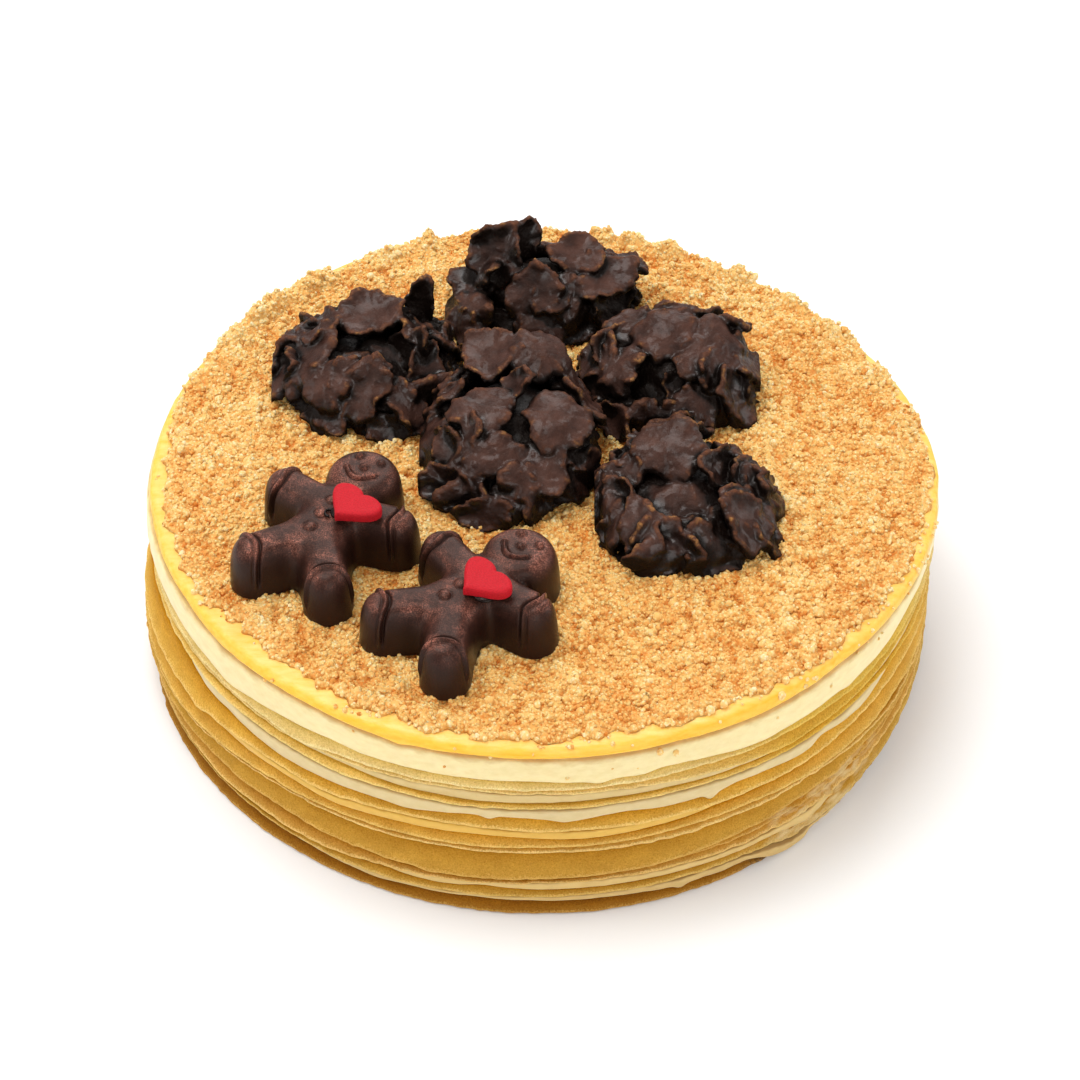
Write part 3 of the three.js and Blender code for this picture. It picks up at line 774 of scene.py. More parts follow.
@dataclass(frozen=True)
class CreamFinish:
    """Smooth cream or custard with a soft sheen and light that goes a little way in."""

    name: str
    colour: Triple
    shade: Triple
    roughness: float = 0.42
    grain: float = 0.12  # depth of its ripples
    dull: Triple = (0.95, 0.93, 0.88)
    bright: Triple = (1.03, 1.04, 1.07)
    streak: Triple = (3.2, 3.2, 1.6)  # size of the duller and brighter patches
    top: Triple | None = None  # the colour toward the upper edge

    def build(self) -> Material:
        """Build the material.

        Returns:
            The material.
        """
        shader = Shader(self.name)
        fall = shader.plus(shader.attribute("rise"), shader.grain((6, 6, 2.5), 0.2, 0.8, -0.18, 0.18))
        top = self.top or self.colour
        colour = shader.ramp(fall, (0.0, self.shade), (0.24, self.colour), (0.55, self.colour), (0.95, top))
        colour = shader.tint(colour, shader.grain(self.streak, 0.3, 0.7), self.dull, self.bright)
        shader.link(colour, "Base Color")
        shader.set(Roughness=self.roughness, Specular_IOR_Level=0.25, Subsurface_Weight=0.25,
                   Subsurface_Scale=1.0,
                   Subsurface_Radius=(0.0022, 0.0014, 0.0007))
        shader.bump(shader.grain(1.5, detail=3), self.grain, 0.8)
        return shader.material


@dataclass(frozen=True)
class CrumbFinish:
    """Baked cookie crumb, each grain a little lighter or browner than the next, with painted shade where
    crumbs lie low and in the gaps between granules.
    """

    name: str = "cookie_crumb"
    # pit: the darkest tone, for browner crumbs and for the painted shade of low places and gaps
    pit: Triple = (214, 130, 48)
    brown: Triple = (236, 179, 98)
    golden: Triple = (246, 208, 134)
    pale: Triple = (254, 234, 186)

    def build(self) -> Material:
        """Build the material.

        Returns:
            The material.
        """
        shader = Shader(self.name)
        granule = shader.pores(0.85, 0.62)
        # Pale granule middles and darker gaps: the crumb's grain with painted shade in the gaps.
        tone_and_shade = shader.plus(shader.attribute("tone_and_shade"), shader.remap(granule, 0, 1, -0.3, 0.26))
        tone_and_shade = shader.plus(tone_and_shade, shader.grain(4.5, 0.3, 0.7, -0.1, 0.1, 2))
        tone_and_shade = shader.plus(tone_and_shade, shader.grain(16, 0.3, 0.7, -0.08, 0.08, 2))
        colour = shader.ramp(tone_and_shade, (0.0, self.pit), (0.32, self.brown), (0.62, self.golden), (1.0, self.pale))
        shader.link(colour, "Base Color")
        shader.set(Roughness=0.65, Specular_IOR_Level=0.25, Subsurface_Weight=0.3, Subsurface_Scale=1.0,
                   Subsurface_Radius=(0.0004, 0.0003, 0.0002))
        shader.bump(shader.plus(granule, shader.grain(0.3, 0.3, 0.7, 0, 0.3)), 0.3, 0.9)
        return shader.material


@dataclass(frozen=True)
class FlakeFinish:
    """Dark chocolate over flakes: satin on the flats, warm on the rims, and painted shade, near black, in the
    hollows and on the sides that don't face up.
    """

    name: str = "chocolate_flake"
    # deep: the painted shade of hollows and of sides that don't face up
    deep: Triple = (13, 6, 4)
    coat: Triple = (48, 28, 22)
    bloom: Triple = (80, 52, 43)
    rim: Triple = (106, 64, 42)
    gold: Triple = (160, 112, 62)

    def build(self) -> Material:
        """Build the material.

        Returns:
            The material.
        """
        shader = Shader(self.name)
        fine = shader.grain(0.8, 0.3, 0.65)
        patch = shader.grain(5, 0.32, 0.72)
        rim, hollow_shade = shader.attribute("rim"), shader.attribute("hollow_shade")
        coat = shader.mix(patch, linear(self.coat), linear(self.bloom))
        edge = shader.times(shader.remap(rim, 0.2, 0.8), fine)
        coat = shader.mix(edge, coat, linear(self.rim))
        gold = shader.times(shader.remap(rim, 0.45, 0.9), fine)
        gold = shader.times(gold, shader.grain(3.4, 0.54, 0.62, detail=2))
        coat = shader.mix(gold, coat, linear(self.gold))
        # Painted shade: the colour goes to near black where the sky is hidden and where the sides face away
        # from the light above.
        dark = shader.remap(hollow_shade, 0.06, 0.34)
        shader.link(shader.mix(dark, coat, linear(self.deep)), "Base Color")
        rough = shader.plus(shader.remap(patch, 0, 1, 0.34, 0.5), shader.remap(rim, 0.1, 0.7, 0.0, 0.2))
        shader.link(rough, "Roughness")
        wet = shader.times(shader.remap(hollow_shade, 0.04, 0.25, 0.26, 0.6),
                           shader.grain(4, 0.35, 0.6, 0.25, 1, 2))
        wet = shader.times(wet, shader.remap(hollow_shade, 0.3, 0.5, 1, 0.12))
        shader.link(shader.times(wet, shader.remap(rim, 0.1, 0.6, 1, 0.2)), "Coat Weight")
        shader.set(Specular_IOR_Level=0.12, Specular_Tint=(1.0, 0.82, 0.72, 1.0), Coat_Roughness=0.22)
        shader.bump(shader.plus(fine, shader.times(rim, shader.grain(0.45))), 0.2, 0.6)
        return shader.material


@dataclass(frozen=True)
class MouldFinish:
    """Moulded dark chocolate with fine strokes of copper lustre on the raised surfaces; the lustre, kept to
    the tops and raised lines and out of grooves and sides, is partly where the dust lies and partly painted
    light and shade.
    """

    name: str = "moulded_chocolate"
    coat: Triple = (38, 21, 16)
    lustre: Triple = (172, 108, 90)
    rough: tuple[float, float] = (0.28, 0.38)

    def build(self) -> Material:
        """Build the material.

        Returns:
            The material.
        """
        shader = Shader(self.name)
        # upper: partly where the lustre dust lies, partly painted light on the tops and ridges and painted
        # shade on the sides and in grooves.
        shine = shader.times(shader.grain(6, 0.42, 0.66, 0.15, 0.9, 2), shader.attribute("upper"))
        shine = shader.times(shine, shader.grain((0.45, 1.0, 1.6), 0.35, 0.7, 0.45, 1.0))
        speck = shader.grain(0.3, 0.45, 0.62, 0.2, 1.15, 2)
        shine = shader.times(shine, speck)
        shader.link(shader.mix(shine, linear(self.coat), linear(self.lustre)), "Base Color")
        shader.link(shader.remap(shine, 0, 1, 0.0, 0.4), "Metallic")
        shader.link(shader.grain(7, 0.3, 0.7, *self.rough, 2), "Roughness")
        shader.set(Specular_IOR_Level=0.2, Specular_Tint=(1.0, 0.84, 0.76, 1.0))
        shader.bump(speck, 0.05, 0.5)
        return shader.material


@dataclass(frozen=True)
class SugarFinish:
    """Pressed red sugar, matt and finely grained."""

    name: str = "sugar_heart"
    colour: Triple = (196, 18, 34)
    deep: Triple = (172, 10, 24)

    def build(self) -> Material:
        """Build the material.

        Returns:
            The material.
        """
        shader = Shader(self.name)
        grain = shader.grain(0.32, 0.3, 0.6, detail=2)
        shader.link(shader.ramp(grain, (0.0, self.deep), (1.0, self.colour)), "Base Color")
        shader.set(Roughness=0.65, Specular_IOR_Level=0.25, Subsurface_Weight=0.15, Subsurface_Scale=1.0,
                   Subsurface_Radius=(0.0012, 0.0003, 0.0003))
        shader.bump(grain, 0.1, 0.6)
        return shader.material


# ---- the stack
def stack_radius(angles: Array, height: Array | float) -> Array:
    """Radius of the stack, a little out of round and wider at the foot.

    Args:
        angles: degrees from +X.
        height: millimetres above the foot.

    Returns:
        The radii in millimetres.
    """
    t = np.radians(angles)
    top = 1 - 0.008 * np.sin(2 * t) + 0.009 * np.cos(3 * t) + 0.0075 * np.cos(4 * t)
    foot = 1 + 0.009 * np.sin(2 * t) - 0.006 * np.cos(3 * t) + 0.008 * np.sin(3 * t)
    k = np.clip(1 - np.asarray(height) / CAKE_HEIGHT, 0, 1)
    return 100 * top * (1 - k) + 102.3 * foot * k


@dataclass(frozen=True)
class RimLine:
    """A value round the rim, given at some angles, with a small wobble that grows where nothing is given."""

    marks: Marks  # angles in degrees from +X, and the values there
    rest: float  # the value where no marks are near
    wobble: float = 0.15
    seed: int = 1
    soften: float = 1.0  # degrees over which the marks blend

    def at(self, angles: Array) -> Array:
        """The value at evenly spaced angles.

        Args:
            angles: degrees, evenly spaced over the full turn.

        Returns:
            The values.
        """
        marks = sorted(self.marks)
        if not marks:
            marks = [(270.0, self.rest)]
        first, last = marks[0][0], marks[-1][0]
        gap = 360 - (last - first)
        fill = [(last + gap * k, self.rest) for k in (0.2, 0.5, 0.8)] if gap > 60 else []
        where = np.array([m[0] for m in marks + fill])
        what = np.array([m[1] for m in marks + fill])
        order = np.argsort(where % 360)
        value = np.interp(angles, (where % 360)[order], what[order], period=360)
        step = 360 / len(angles)
        reach = max(1, int(round(3 * self.soften / step)))
        kernel = np.exp(-0.5 * (np.arange(-reach, reach + 1) * step / self.soften) ** 2)
        value = np.convolve(np.concatenate([value[-reach:], value, value[:reach]]), kernel / kernel.sum(),
                            "valid")
        unread = np.clip(np.abs((angles - (first + last) / 2 + 540) % 360 - 180) - (last - first) / 2, 0,
                         25) / 25
        ring = polar(100, angles, self.seed * 370.0)
        swell = Noise(self.seed).layered(ring, 34, 2)
        small = Noise(self.seed + 500).layered(ring, 7, 2)
        return value + self.wobble * (small * 0.7 + swell * (0.4 + 3.2 * unread))


class Kind(Enum):
    """What a layer is made of."""

    CREPE = "crepe"
    CREAM = "cream"
    CUSTARD = "custard"


@dataclass(frozen=True)
class Layer:
    """One layer of the stack: where its lower edge runs and how far that edge stands out, in millimetres."""

    name: str
    kind: Kind
    centre: float  # height of the lower face at the axis
    edge: RimLine
    out: RimLine
    finish: CrepeFinish | CreamFinish
    shoulder: float = 1.0  # how far the rim leans in at its top
    droop: float = 0.3  # how far the edge hangs below the lower face
    rough: float = 0.3  # how ragged the edge is
    lip: float = 0.8  # height of a crepe's cut lip


# How far the crepes at mid height stand out on the left: angle and millimetres.
BULGE = ((150, 0.4), (170, 1.8), (187, 2.2), (203, 1.6), (216, 0.5))

# The layers from the top down.
LAYERS = (
    Layer("custard_top", Kind.CUSTARD, 52,
          RimLine(((205, 52.5), (220, 51.5), (230, 52.4), (240, 52.4), (249, 51.8), (250.5, 50.7),
              (252, 51.8), (262, 52.4), (280, 52.3), (290, 51.9), (300, 51.1), (310, 51.1), (320, 51.9),
              (330, 51.5)), 52.2, 0.12, 11, 0.8),
          RimLine(((205, 0.1), (250.5, 0.5), (330, 0.2)), 0.1, 0.1, 12),
          # The custard's paler, bluer streaks are partly painted highlights.
          CreamFinish("custard_top", (255, 194, 64), (226, 156, 52), 0.34, 0.25, (0.99, 0.9, 0.66),
                      (1.0, 1.1, 1.7), (7, 1.7, 1.1), (253, 202, 98)), 0.9, 0.2, 0.05),
    Layer("cream_1", Kind.CREAM, 43.4,
          RimLine(((185, 42.6), (200, 42.5), (210, 42), (216, 41.2), (220, 40.3), (225, 42), (230, 43),
              (240, 44.5), (245, 43.8), (260, 44.4), (268, 44.8), (276, 44), (278, 42.8), (280, 44.2),
              (284, 43.7), (287, 45), (292, 44), (297, 42.5), (303, 41.3), (305, 41.9), (310, 41.9),
              (317.5, 41.8), (319, 40.7), (320.5, 41.6), (330, 42.3), (336, 45.6), (345, 46)), 43.6, 0.15, 21,
              0.55),
          RimLine(((150, 0.2), (185, 1.5), (205, 0.6), (240, 0.2), (278, 0.4), (303, 0.5), (319, 0.6),
              (330, 0.2)), 0.1, 0.15, 22),
          CreamFinish("cream_upper", (239, 220, 165), (212, 182, 123), 0.4, 0.1), 0.6, 0.2, 0.06),
    Layer("crepe_1", Kind.CREPE, 41,
          RimLine(((210, 38.8), (220, 39.6), (230, 39), (234, 38.5), (240, 40.4), (250, 41.5), (260, 42),
              (270, 42.3), (290, 42.3), (296, 41.6), (303, 40.6), (310, 40.2), (320, 39.4), (330, 39.8),
              (342, 42)), 40.8, 0.2, 31),
          RimLine(((215, -0.1), (278, 0.3), (330, 0)), 0, 0.2, 32),
          CrepeFinish("crepe_pale", (214, 176, 90), (226, 192, 114), (242, 218, 154)), 0.8, 0.3, 0.28, 0.8),
    Layer("crepe_2", Kind.CREPE, 39.4,
          RimLine(((210, 37.2), (220, 38), (230, 37.9), (240, 38.8), (250, 39.8), (260, 40.5), (270, 40.5),
              (280, 40.2), (290, 39.2), (300, 37.4), (306, 36.2), (312, 35.9), (322, 35.6), (335, 37)), 38.7,
              0.2, 41),
          RimLine(((210, -0.4), (270, -0.35), (305, 0.2), (330, -0.4)), -0.4, 0.2, 42),
          CrepeFinish("crepe_tan_a", (202, 154, 60), (218, 174, 88), (238, 208, 136)), 1.2, 0.3, 0.3, 0.7),
    Layer("cream_2", Kind.CREAM, 37.6,
          RimLine(((210, 36.4), (243, 37.2), (250, 36.5), (260, 36.7), (270, 37.1), (280, 37.2), (290, 36.9),
              (297, 36.3), (310, 35.3), (330, 35.1)), 36.6, 0.12, 51),
          RimLine(((205, -1.8), (250, -1.0), (266, -0.8), (285, -0.9), (300, -0.7), (330, -0.7)), -1.4, 0.1,
              52),
          CreamFinish("cream_shaded", (214, 188, 130), (190, 158, 98), 0.45, 0.1), 0.4, 0.1, 0.05),
    Layer("crepe_3", Kind.CREPE, 35.2,
          RimLine(((205, 34.8), (210, 34.6), (240, 34.6), (250, 35.5), (260, 35.6), (270, 36), (280, 36),
              (290, 35.6), (300, 34.6), (310, 34), (330, 34), (340, 34)), 34.8, 0.2, 61),
          RimLine(((205, 0), (270, 0), (330, 0)), 0, 0.25, 62),
          CrepeFinish("crepe_golden", (206, 156, 56), (230, 184, 90), (240, 208, 128)), 1.2, 0.3, 0.25, 0.7),
    Layer("cream_3", Kind.CREAM, 31.6,
          RimLine(((200, 34.4), (207, 34.2), (211, 32), (215, 30.8), (220, 30.9), (230, 29.6), (240, 30.3),
              (248, 31), (250.5, 30.3), (252.5, 30.6), (256, 32), (260, 32.9), (261.8, 32.9), (263, 31.4),
              (264.2, 33.1), (268, 32.9), (271.5, 32.2), (273, 31.1), (276, 31.9), (282, 32.4), (287, 31.5),
              (293, 31.2), (294, 28.6), (295.2, 31), (298, 32), (305, 30.5), (310, 29.7), (311.6, 30),
              (313, 31.7), (318, 30.5), (322, 29.5), (325, 30), (330, 32), (334, 33.4)), 33.2, 0.15, 71,
              0.45),
          RimLine(((200, -1.2), (212, -0.3), (240, 0.0), (263, 0.2), (280, -0.2), (294, 0.3), (310, 0.3),
              (322, 0.2), (332, -0.8)), -0.8, 0.15, 72),
          CreamFinish("cream_lower", (216, 194, 144), (196, 166, 112), 0.42, 0.1), 0.6, 0.1, 0.06),
    Layer("crepe_4", Kind.CREPE, 27.6,
          RimLine(((190, 22.4), (209, 22.8), (210.4, 22.2), (211, 21), (213, 22.8), (215, 24), (220, 25.5),
              (225, 26.4), (240, 26.4), (250, 28.5), (260, 29), (270, 28.5), (290, 27.8), (300, 27.3),
              (310, 26.4), (320, 26.4), (330, 27.5)), 26.6, 0.2, 81, 0.7),
          RimLine(BULGE + ((240, 0.1), (300, 0.2)), 0.1, 0.3, 82),
          CrepeFinish("crepe_brown_a", (188, 126, 14), (210, 154, 52), (234, 196, 114)), 1.6, 0.5, 0.3, 0.9),
    Layer("custard_line", Kind.CREAM, 25.9,
          RimLine(((200, 22), (211, 21), (215, 23), (220, 23.3), (230, 24.4), (240, 23.7), (250, 25.3),
              (266, 26.3), (275, 25.1), (290, 25.3), (296, 26.0), (310, 25.2), (330, 25.8)), 25.2, 0.1, 91),
          RimLine(((190, -0.6), (215, -0.4), (235, 0), (265, -0.3), (280, -0.2), (300, -1.4), (330, -1.6)),
              -1.6, 0.1, 92),
          CreamFinish("custard_line", (222, 178, 84), (190, 142, 50), 0.4, 0.1), 0.5, 0.1, 0.05),
    Layer("crepe_5", Kind.CREPE, 21.4,
          RimLine(((190, 15.6), (210, 16), (220, 18.5), (230, 20.7), (240, 21.1), (250, 21.8), (260, 22.3),
              (270, 23.1), (290, 23.1), (300, 22.8), (310, 21.5), (320, 19.8), (330, 19)), 20.2, 0.2, 101),
          RimLine(BULGE + ((240, 0.2), (300, 0.2)), 0.2, 0.3, 102),
          CrepeFinish("crepe_tan_b", (187, 125, 16), (210, 154, 58), (228, 188, 104)), 1.5, 0.4, 0.3, 0.8),
    Layer("crepe_6", Kind.CREPE, 19.8,
          RimLine(((190, 15.1), (210, 15.6), (220, 17.8), (230, 19.9), (240, 19.9), (250, 20.5), (260, 21),
              (270, 21.4), (290, 20.9), (300, 20.8), (310, 20.2), (320, 18.4), (330, 17.8)), 19, 0.2, 111),
          RimLine(BULGE + ((240, 0.3), (290, 0.3)), 0.2, 0.35, 112),
          CrepeFinish("crepe_edge_light", (181, 120, 28), (200, 146, 58), (232, 196, 122)), 0.9, 0.3, 0.4,
          0.9),
    Layer("crepe_7", Kind.CREPE, 13,
          RimLine(((190, 12), (200, 12), (210, 11.5), (220, 11.8), (230, 12.8), (240, 12.3), (250, 12.2),
              (252.5, 12.2), (254, 11.2), (257, 11.7), (260, 12), (270, 12.4), (280, 13), (290, 13.2),
              (292, 13.9), (300, 14.4), (310, 15), (315.5, 14.9), (317, 13.4), (318.2, 15), (330, 15.4)),
              13.2, 0.2, 121, 0.6),
          RimLine(BULGE + ((250, 0.6), (270, 0.5), (300, 0.4)), 0.5, 0.3, 122),
          CrepeFinish("crepe_skirt", (180, 126, 33), (191, 141, 50), (212, 168, 86)), 1.2, 0.8, 0.3, 0.8),
    Layer("crepe_8", Kind.CREPE, 11.6,
          RimLine(((210, 11.1), (230, 12.3), (254, 10.9), (270, 12), (288, 12.8), (291, 12.6), (300, 12.4),
              (320, 12.4), (330, 12.3)), 11.5, 0.15, 131),
          RimLine(((210, -1), (280, -1.2), (300, 0), (330, 0)), -0.9, 0.2, 132),
          CrepeFinish("crepe_dark_a", (158, 98, 13), (180, 122, 34), (212, 166, 84)), 0.9, 0.3, 0.25, 0.5),
    Layer("crepe_9", Kind.CREPE, 8.8,
          RimLine(((210, 7), (220, 6.5), (230, 7.5), (240, 7.2), (250, 9), (260, 10), (270, 11), (280, 11.2),
              (290, 10.3), (300, 9.6), (310, 9.2), (330, 8.5)), 8.8, 0.2, 141),
          RimLine(((190, 1), (230, 0.3), (270, 0.3), (300, 0.1)), 0.1, 0.3, 142),
          CrepeFinish("crepe_dark_b", (160, 102, 17), (190, 134, 50), (226, 186, 110)), 1.1, 0.4, 0.35, 0.9),
    Layer("cream_4", Kind.CREAM, 7.4,
          RimLine(((215, 6), (240, 6.8), (248, 8.2), (250, 7.5), (255, 7.3), (258, 7.7), (262, 9), (270, 8.3),
              (280, 8.2), (288, 8), (300, 7.7), (305, 7.2), (310, 5), (314, 5.6), (318, 8)), 7.4, 0.12, 151,
              0.7),
          RimLine(((215, -1.8), (244, -1.6), (252, -0.3), (280, -0.3), (300, -0.1), (310, 0.5), (316, -0.2),
              (322, -1.6)), -1.8, 0.1, 152),
          CreamFinish("cream_foot", (216, 184, 118), (182, 144, 80), 0.45, 0.12), 0.4, 0.1, 0.08),
    Layer("crepe_10", Kind.CREPE, 4.9,
          RimLine(((210, 5.6), (230, 5.5), (240, 5), (250, 5.1), (260, 5.7), (270, 6.2), (280, 6.2), (290, 6),
              (300, 5.4), (305, 4), (308, 2.6), (316, 3), (330, 2.6), (345, 3)), 4.6, 0.2, 161),
          RimLine(((210, 0.2), (270, 0.1), (300, 0), (330, 0)), 0.1, 0.25, 162),
          CrepeFinish("crepe_brown_b", (168, 114, 26), (188, 138, 47), (216, 178, 98)), 1.0, 0.3, 0.3, 0.7),
    Layer("cream_5", Kind.CREAM, 3.6,
          RimLine(((215, 4.6), (230, 4.7), (240, 4.1), (247, 3.2), (250, 4), (260, 4.7), (270, 4.7),
              (280, 4.3), (287, 3.4), (288.6, 3.4), (289.5, 1.4), (290.6, 3.4), (293, 3.4), (296, 2.9),
              (300, 3.5), (302, 2.4), (304, 0.2), (307, -0.7), (310, -0.3), (312, 2), (318, 1.6), (322, 2.2),
              (330, 2.3)), 3.6, 0.12, 171, 0.5),
          RimLine(((215, -1.4), (235, -0.5), (255, -0.2), (285, -0.2), (289.5, 0.4), (293, -0.1), (300, 0.2),
              (305, 1.2), (309, 1.2), (313, 0.2), (330, -1)), -1.2, 0.1, 172, 0.8),
          CreamFinish("cream_base", (208, 176, 114), (171, 135, 79), 0.5, 0.14), 0.4, 0.1, 0.1),
    Layer("crepe_11", Kind.CREPE, 0,
          RimLine((), 0, 0, 181),
          RimLine(((200, 0), (270, -0.2), (300, -0.4), (318, -1.2), (332, -1.4), (346, -0.8)), -0.2, 0.2,
                  182),
          CrepeFinish("crepe_foot", (120, 70, 5), (148, 94, 18), (192, 146, 72)), 0.9, 0, 0.35, 0.7),
)


@dataclass
class CrepeStack:
    """The stack of crepes and creams, a closed piece for each layer."""

    layers: tuple[Layer, ...] = LAYERS
    stations: int = STATIONS
    faces: int = 9  # sets how many rows the rim of a layer has

    def build(self) -> list[Piece]:
        """Build all the layers from the top down.

        Returns:
            The pieces.
        """
        template = Mesher.turned(self.faces + 6, self.stations)
        angles = np.arange(self.stations) * 360 / self.stations
        above: Rim = {"edge": np.full(self.stations, CAKE_HEIGHT)}
        upper = CAKE_HEIGHT
        pieces = []
        for number, layer in enumerate(self.layers):
            rim = self._rim(layer, number, angles, above)
            rows = self._rows(layer, rim, above, upper, number == 0, angles)
            pieces.append(self._piece(layer, template.copy(), rows, angles, number))
            above, upper = rim, layer.centre
        bpy.data.meshes.remove(template)
        return pieces

    def _rim(self, layer: Layer, number: int, angles: Array, above: Rim) -> Rim:
        """Where the lower edge of a layer runs.

        Args:
            layer: the layer.
            number: its place from the top.
            angles: the stations' angles.
            above: the rim of the layer above.

        Returns:
            Arrays for the edge, the ring inside it and their radii.
        """
        foot = number == len(self.layers) - 1
        room = (len(self.layers) - 1 - number) * LEAST_BAND
        out = layer.out.at(angles)
        edge = layer.edge.at(angles) + 0.9 * np.maximum(out, 0) * (0.35 if layer.kind is Kind.CREPE else 1)
        edge = np.maximum(np.minimum(edge, above["edge"] - LEAST_BAND), room)
        if foot:
            edge = np.zeros_like(angles)
        ring = polar(101, angles, number * 37.37)
        jag = Noise(900 + number)
        step = jag.smooth(ring, 1.1) * 0.55 + jag.smooth(ring, 2.6) * 0.6 + jag.smooth(ring + 50, 6) * 0.4
        band = np.clip(above["edge"] - edge, 0.2, 4)
        torn = 1 + 2.2 * hill(angles, TORN_AT, 13) * (number >= TORN_FROM)
        edge = edge + torn * layer.rough * 0.6 * step * np.minimum(1, band)
        edge = np.maximum(np.minimum(edge, above["edge"] - LEAST_BAND * 0.6), 0)
        radius = stack_radius(angles, edge)
        out = out + torn * layer.rough * 0.5 * jag.smooth(ring + 90, 1.6)
        return {"edge": edge, "ring": edge * 0 if foot else edge + layer.droop, "inner": radius - NOSE_DEPTH,
                "radius": radius, "out": out}

    def _rows(self, layer: Layer, rim: Rim, above: Rim, upper: float, top: bool, angles: Array) -> list[Row]:
        """Radius, height and share of the face for each row of a layer.

        Args:
            layer: the layer.
            rim: its lower edge.
            above: the rim of the layer above.
            upper: the centre height of the layer above.
            top: True for the uppermost layer.
            angles: the stations' angles.

        Returns:
            The rows from the axis below to the axis above.
        """
        n = len(angles)
        zero, one = np.zeros(n), np.ones(n)
        outer = rim["radius"] + rim["out"]
        edge, ring = rim["edge"], rim["ring"]
        rows = [(zero, one * layer.centre + INTERFACE_GAP, 1.0), (rim["inner"], ring + INTERFACE_GAP, 1.0)]
        if top:
            r = stack_radius(angles, CAKE_HEIGHT)
            lift = 0.22 * Noise(77).layered(polar(100, angles, 0), 9, 3)
            high = CAKE_HEIGHT
            rows += [(outer - 0.7, edge + 0.05, 0.3), (outer - 0.1, edge + 0.4, 0.35),
                     (outer + 0.15, edge + 1.1, 0.4), (r + 0.1 + lift, high - 1.5 + lift, 0.45),
                     (r - 0.15 + lift, high - 0.8 + lift, 0.6),
                     (r - 0.7 + lift, high - 0.3 + lift * 0.6, 0.8), (r - 1.6, high - 0.05 + lift * 0.4, 1.0),
                     (r - 3.0, high + 0.3 * lift, 1.0), (r - 6, one * (high - 0.05), 1.0)]
            more = range(self.faces + 5 - len(rows))
            rows += [(r - 12 - 6 * step, one * (high - 0.1), 1.0) for step in more]
            return [*rows, (zero, one * (high - 0.1), 1.0)]
        band = above["edge"] - edge
        face = edge + np.maximum(band * 0.9 - 0.15, band * 0.55)
        lean = np.minimum(layer.shoulder, 0.25 + band * 0.45)
        shoulder = stack_radius(angles, above["edge"]) + rim["out"] * 0.8 - lean
        shoulder = np.maximum(shoulder, rim["inner"] + 0.5)
        if layer.kind is Kind.CREPE:
            lip = np.minimum(layer.lip, band * 0.45)
            rows += [(outer - 0.8, edge + 0.1, 0.9), (outer - 0.2, edge, 1.0),
                     (outer, edge + 0.35 * lip, 1.0), (outer - 0.06, edge + 0.75 * lip, 0.95)]
            root, foot = outer - 0.3 * np.minimum(1, band), edge + lip
            for u in np.linspace(0, 1, self.faces - 2):
                rows.append((root + (shoulder - root) * u**0.8, foot + (face - foot) * u, 0.85 * (1 - u)))
        else:
            low = np.minimum(0.9, band * 0.35)
            for k in np.linspace(0, 1, self.faces + 2):
                s = 2 * k - 1
                inset = (low if s < 0 else lean) * abs(s) ** 3.2
                base = outer * (1 - k) + (shoulder + lean) * k
                rise = 0.5 + 0.5 * math.sin(s * math.pi / 2)
                rows.append((base - inset, edge + (face - edge) * rise, 1 - k))
        over = above["ring"] - INTERFACE_GAP
        return [*rows, (above["inner"], over, 0.0), (zero, one * upper - INTERFACE_GAP, 0.0)]

    def _piece(self, layer: Layer, mesh: Mesh, rows: list[Row], angles: Array, number: int) -> Piece:
        """Shape the template into one layer.

        Args:
            layer: the layer.
            mesh: a copy of the template.
            rows: the layer's rows.
            angles: the stations' angles.
            number: the layer's place from the top.

        Returns:
            The piece.
        """
        co = Mesher.coords(mesh)
        row = np.clip(np.rint(co[:, 2]).astype(int), 0, len(rows) - 1)
        turn = bearing(co)
        station = np.rint(turn / 360 * self.stations).astype(int) % self.stations
        radius = np.array([r[0] for r in rows])[row, station]
        height = np.array([r[1] for r in rows])[row, station]
        rise = np.array([r[2] for r in rows])[row]
        place = polar(radius, angles[station], height)
        face = (row > 1) & (row < len(rows) - 2)
        texture = Noise(300 + number)
        if layer.kind is Kind.CREPE:
            relief = 0.16 * texture.layered(place * (1, 1, 0.5), 2.2, 2) + 0.2 * texture.smooth(place, 9)
        else:
            relief = 0.22 * texture.smooth(place, 8) + 0.08 * texture.smooth(place, 2.5)
        inside = np.clip((radius - stack_radius(turn, height) + NOSE_DEPTH) / NOSE_DEPTH, 0, 1)
        radius = radius + np.where(face, relief * inside, 0)
        Mesher.set_coords(mesh, polar(radius, angles[station], height))
        Mesher.attribute(mesh, "rise", rise)
        if layer.kind is Kind.CREPE:
            warm = np.clip((turn - 292) / 16, 0, 1) * np.clip((352 - turn) / 20, 0, 1)
            scorch = hill(turn, 303, 3, 4) + hill(turn, 329, 4, 4)
            Mesher.attribute(mesh, "warm", warm * (number < 6))
            Mesher.attribute(mesh, "smear", hill(turn, TORN_AT + 1, 12, 4) * (number >= TORN_FROM))
            Mesher.attribute(mesh, "scorch", scorch * (number == len(self.layers) - 1))
        return Placer.place(layer.name + "_layer", mesh, layer.finish.build(), layer.kind.value, layer.name)


# ---- crumbs
# For each heap: x and y of the middle, half lengths along X and Y, height, and how steep its sides are.
HEAP_CORES = {
    "left": (-45.5, 31.5, 25, 22, 17, 1.3),
    "back": (1, 62.5, 27, 16, 19, 1.1),
    "right": (34, 28, 24, 18.5, 18, 1.0),
    "centre": (-7.5, 4, 24, 28.5, 18, 0.85),
    "front": (36, -21, 24, 21.5, 16.5, 1.25),
}
# For each figure: x and y of the chin, and how far it is turned.
MEN = {"left": (-43.9, -17.4, -27.7), "right": (-4.5, -46.5, -44.5)}

